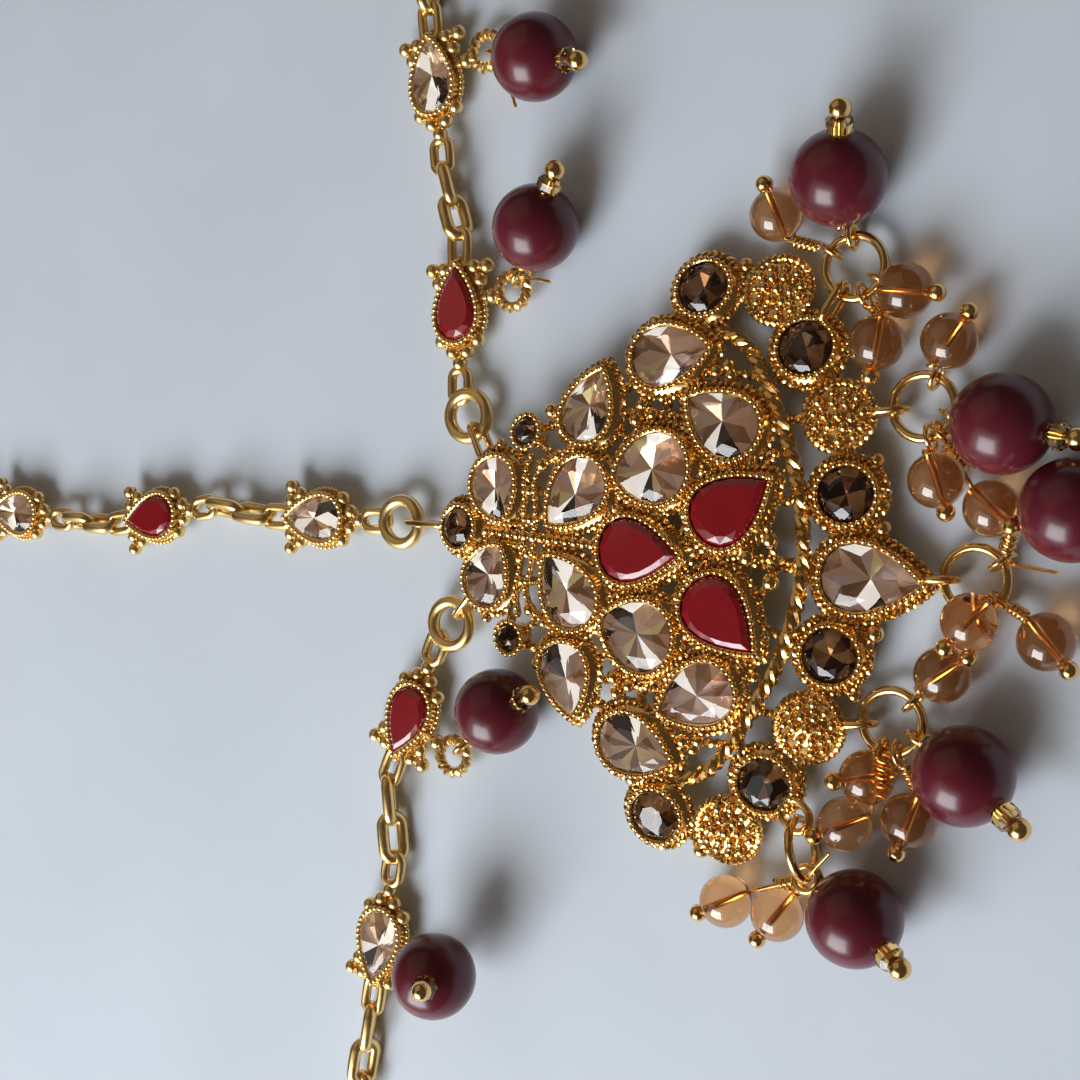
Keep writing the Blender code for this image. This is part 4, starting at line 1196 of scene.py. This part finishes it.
def large_drop(context, node, centre, heading, rise, hoop):
    """A large bead with its faceted spacer, end ball, pin and wrapped eye."""
    pin = context.scene.jewel_sizes.pin
    place, tail = at(*centre), heading_vector(heading, rise)
    hooked, tangent = nearest_on_hoop(hoop, place)
    reach = (LARGE_RADIUS + 1.8) * MM
    metal = drop_wires(place, LARGE_RADIUS * MM, tail, hooked, tangent, pin, LARGE_BALL * MM, reach)
    if node in PIN_TAILS:
        metal.append((wire([hooked, at(*PIN_TAILS[node])], TAIL_WIRE * MM, False, 2), None))
    gathered(node + "_pin", metal, [gold_finish()], [node])
    maroon = maroon_finish(tuple(context.scene.jewel_colours.maroon))
    bead = sized(axes_at(place, tail.orthogonal(), tail), LARGE_RADIUS * MM)
    gathered(node + "_glass", [(bored_bead(LARGE_RADIUS, 0.4), bead)], [maroon], [node])
    spot = axes_at(place + tail * (LARGE_RADIUS + SPACER_REACH) * MM, tail.orthogonal(), tail)
    spacer = [(pattern("spacer"), sized(spot, SPACER_RADIUS * MM, SPACER_HALF * MM))]
    gathered(node + "_spacer", spacer, [glass_finish("honey_glass", HONEY, 0.03)], [node])


def station_frame(station):
    x, y, heading = station[:3]
    return axes_at(at(x, y, STATION_HEIGHT), heading_vector(heading), UP)


def side_ring_place(station):
    """Centre of the ring that hangs from the side of a station."""
    x, y, heading, hand = station
    along = heading_vector(heading)
    left = UP.cross(along)
    return at(x, y, CHAIN_HEIGHT) + (along * SIDE_RING_ADVANCE + left * hand * SIDE_RING_OFFSET) * MM


def links_between(start, end, count):
    """Oval links from start to end, each rolled further than the one before."""
    copies = []
    step = (end - start) / count
    along = step.normalized()
    stretch = step.length - LINK_PRESS * MM + 2.0 * LINK_WIRE * MM - 2.0 * (LINK_HALF_WIDTH * MM)
    for i in range(count):
        normal = Matrix.Rotation(math.pi * (i + 1) / (count + 1), 3, along) @ UP
        link = torus(LINK_HALF_WIDTH * MM, CHAIN_WIRE * MM, 32, 12, stretch)
        copies.append((link, axes_at(start + step * (i + 0.5), along, normal)))
    return copies


def hook_wires(start, along):
    """The plain hook at a chain's end: an eye, a shank and a bend."""
    left = UP.cross(along)
    eye = start + along * (EYE_RADIUS - HOOK_WIRE + 0.5 * LINK_PRESS) * MM
    neck = eye + along * EYE_RADIUS * MM
    crown = neck + along * HOOK_SHANK * MM
    points = [neck, crown]
    for i in range(1, 15):
        turn = math.pi * i / 14
        bend = along * HOOK_BEND * math.sin(turn) + left * HOOK_BEND * (1.0 - math.cos(turn))
        points.append(crown + bend * MM)
    points.append(points[-1] - along * HOOK_RETURN * MM)
    return [
        (torus(EYE_RADIUS * MM, HOOK_WIRE * MM, 28, 12), axes_at(eye, along, UP)),
        (wire(points, HOOK_WIRE * MM), None),
        (pattern("granule"), sized(points[-1], HOOK_WIRE * MM)),
    ]


def station_loops(place, heading):
    """The loops at both ends of a station that the links take hold of."""
    copies = []
    for sign, reach, foot in ((-1.0, ROUND_REACH, 6.3), (1.0, TIP_REACH, 3.5)):
        far = reach + LINK_WIRE - 0.5 * LINK_PRESS
        gap = max(far - foot - 2.0 * LOOP_RADIUS, 0.0)
        middle = sign * (far - LOOP_RADIUS - 0.5 * gap)
        spot = place @ Vector((middle * MM, 0.0, (CHAIN_HEIGHT - STATION_HEIGHT) * MM))
        loop = torus(LOOP_RADIUS * MM, LOOP_WIRE * MM, 32, 12, gap * MM)
        copies.append((loop, axes_at(spot, heading_vector(heading), UP)))
    return copies


def side_ring(station, middle, ball):
    """The twisted side ring of a station, with the wire and the granule that hold it."""
    hoop = side_ring_place(station)
    rim = [heading_vector(9.0 * i) * SIDE_RING_RADIUS * MM + hoop for i in range(40)]
    toward = ((middle - hoop) * Vector((1.0, 1.0, 0.0))).normalized()
    near = hoop + toward * SIDE_RING_RADIUS * MM
    copies = [(strand, None) for strand in twisted(rim, 0.3 * MM, 1.5 * MM, True)]
    copies.append((pattern("granule"), sized(near + toward * 0.75 * MM, ball)))
    copies.append((wire([near, near + toward * 2.6 * MM], 0.34 * MM), None))
    return copies


class JEWEL_OT_chains(Operator):
    """Links the chains with their set stones, granules, rings and hooks."""

    bl_idname = "jewel.chains"
    bl_label = "Chains"

    def execute(self, context):
        sizes = context.scene.jewel_sizes
        seats = all_seats()
        ball = 0.5 * sizes.granule
        depth = -STATION_DEPTH * MM
        wall = collet_wall("station_pear", depth, STATION_TAPER, STATION_SKIRT * MM)
        cup = (wall, floor_plate("station_pear", depth))
        collars = []
        for margin, level in ((0.2 * MM + 0.2 * sizes.grain, -0.1 * MM), (0.78 * MM, -1.0 * MM)):
            collars += milgrain("station_pear", margin, level, sizes.grain)
        # The chain's gold is a painted paler copy of the pendant's gold, a painted highlight for the window that its
        # links mirror, and is also rougher
        painted_pale_link_gold = [gold_finish("chain_gold_painted_pale", light=1.13, dull=0.13)]
        for route in CHAINS:
            name, seat, side, stations, spare = route
            first = chain_ring_place(seats, route)
            away = station_joints(stations[0])[0] - first
            metal = [(torus(CHAIN_RING_RADIUS * MM, CHAIN_WIRE * MM, 56, 14), axes_at(first, away, UP))]
            grains = []
            end = None
            for number, station in enumerate(stations):
                round_joint, tip_joint = station_joints(station)
                if end is not None:
                    metal += links_between(end, round_joint, 2)
                end = tip_joint
                place = station_frame(station)
                metal += [(shape, place) for shape in cup]
                grains += [(pattern("grain"), sized(place @ spot, 0.54 * sizes.grain)) for spot in collars]
                for x, y in STATION_BALLS:
                    spot = place @ Vector((x * MM, y * MM, (CHAIN_HEIGHT - STATION_HEIGHT) * MM))
                    metal.append((pattern("granule"), sized(spot, ball)))
                metal += station_loops(place, station[2])
                if station[3]:
                    metal += side_ring(station, place.translation, ball)
                colour = STATION_COLOURS[name][number]
                stone = cut_stone("station_pear", colour, 100 + len(name) + number)
                piece = "%s_stone_%d" % (name, number + 1)
                gathered(piece, [(stone, place)], stone_finishes(colour), [name])
            along = heading_vector(stations[-1][2])
            last = end + along * spare * (LINK_PITCH + 4.0 * LINK_WIRE) * MM
            metal += links_between(end, last, spare) + hook_wires(last, along)
            gathered(name + "_metal", metal, painted_pale_link_gold, [name])
            gathered(name + "_milgrain", grains, painted_pale_link_gold, [name])
        return {"FINISHED"}


class JEWEL_OT_chain_beads(Operator):
    """Hangs the large beads of the side chains."""

    bl_idname = "jewel.chain_beads"
    bl_label = "Chain Beads"

    def execute(self, context):
        routes = {route[0]: route[3] for route in CHAINS}
        for node, owner, index, centre, heading, rise in CHAIN_BEADS:
            hoop = (side_ring_place(routes[owner][index]), UP, SIDE_RING_RADIUS * MM)
            large_drop(context, node, centre, heading, rise, hoop)
        return {"FINISHED"}


def paper_finish(colour):
    finish, tree, shader = new_finish("pale_paper", Roughness=0.62)
    stops = ((0.3, shade(colour, 0.96)), (0.7, shade(colour, 1.02)))
    ramp_into(shader.inputs["Base Color"], object_noise(tree, 40.0), stops)
    return finish


def softbox(name, place, target, width, power, colour):
    """A square soft light that looks at a target."""
    light = bpy.data.lights.new(name, "AREA")
    light.shape = "SQUARE"
    light.size = width
    light.energy = power
    light.color = colour
    holder = bpy.data.objects.new(name, light)
    bpy.context.scene.collection.objects.link(holder)
    holder.location = place
    holder.rotation_euler = (target - place).to_track_quat("-Z", "Y").to_euler()


class JEWEL_OT_stage(Operator):
    """Lays the floor and sets the lights and the camera."""

    bl_idname = "jewel.stage"
    bl_label = "Stage"

    def execute(self, context):
        scene = context.scene
        bpy.ops.object.select_all(action="DESELECT")
        bpy.ops.mesh.primitive_plane_add(size=FLOOR_SIZE, location=(PLACE.x, PLACE.y, 0.0))
        floor = context.active_object
        floor.name = "paper_floor"
        floor.data.materials.append(paper_finish(scene.jewel_colours.paper))

        world = scene.world or bpy.data.worlds.new("room")
        scene.world = world
        world.use_nodes = True
        backdrop = world.node_tree.nodes["Background"]
        backdrop.inputs["Color"].default_value = ROOM_COLOUR
        backdrop.inputs["Strength"].default_value = ROOM_STRENGTH

        for name, place, width, power, colour in SOFTBOXES:
            softbox(name, at(*place), at(*LIGHT_TARGET), width, power, colour)

        camera = bpy.data.cameras.new("view")
        camera.sensor_width = FILM_WIDTH
        camera.lens = FILM_WIDTH * FOCAL_PIXELS / PICTURE_PIXELS
        camera.clip_start = 0.01
        camera.clip_end = 10.0
        holder = bpy.data.objects.new("view", camera)
        scene.collection.objects.link(holder)
        turned = Matrix(CAMERA_AXES).transposed().to_4x4()
        turned.translation = at(*CAMERA_PLACE)
        holder.matrix_world = turned
        scene.camera = holder
        scene.view_settings.view_transform = "Standard"
        return {"FINISHED"}


class JEWEL_PT_panel(Panel):
    """Lists the pieces of the jewel."""

    bl_idname = "JEWEL_PT_panel"
    bl_label = "Matha Patti"
    bl_space_type = "VIEW_3D"
    bl_region_type = "UI"
    bl_category = "Matha Patti"

    def draw(self, context):
        layout = self.layout
        for group in (context.scene.jewel_sizes, context.scene.jewel_colours):
            for name in type(group).__annotations__:
                layout.prop(group, name)
        for maker in MAKERS:
            layout.operator(maker.bl_idname)


MAKERS = (
    JEWEL_OT_stage,
    JEWEL_OT_collets,
    JEWEL_OT_stones,
    JEWEL_OT_openwork,
    JEWEL_OT_flowers,
    JEWEL_OT_eyelets,
    JEWEL_OT_fringe,
    JEWEL_OT_chains,
    JEWEL_OT_chain_beads,
)
CLASSES = (JewelSizes, JewelColours) + MAKERS + (JEWEL_PT_panel,)


def register():
    for each in CLASSES:
        bpy.utils.register_class(each)
    bpy.types.Scene.jewel_sizes = PointerProperty(type=JewelSizes)
    bpy.types.Scene.jewel_colours = PointerProperty(type=JewelColours)


def unregister():
    del bpy.types.Scene.jewel_colours
    del bpy.types.Scene.jewel_sizes
    for each in reversed(CLASSES):
        bpy.utils.unregister_class(each)


def main():
    register()
    bpy.ops.jewel.stage()
    bpy.ops.jewel.collets()
    bpy.ops.jewel.stones()
    bpy.ops.jewel.openwork()
    bpy.ops.jewel.flowers()
    bpy.ops.jewel.eyelets()
    bpy.ops.jewel.fringe()
    bpy.ops.jewel.chains()
    bpy.ops.jewel.chain_beads()


if __name__ == "__main__":
    main()
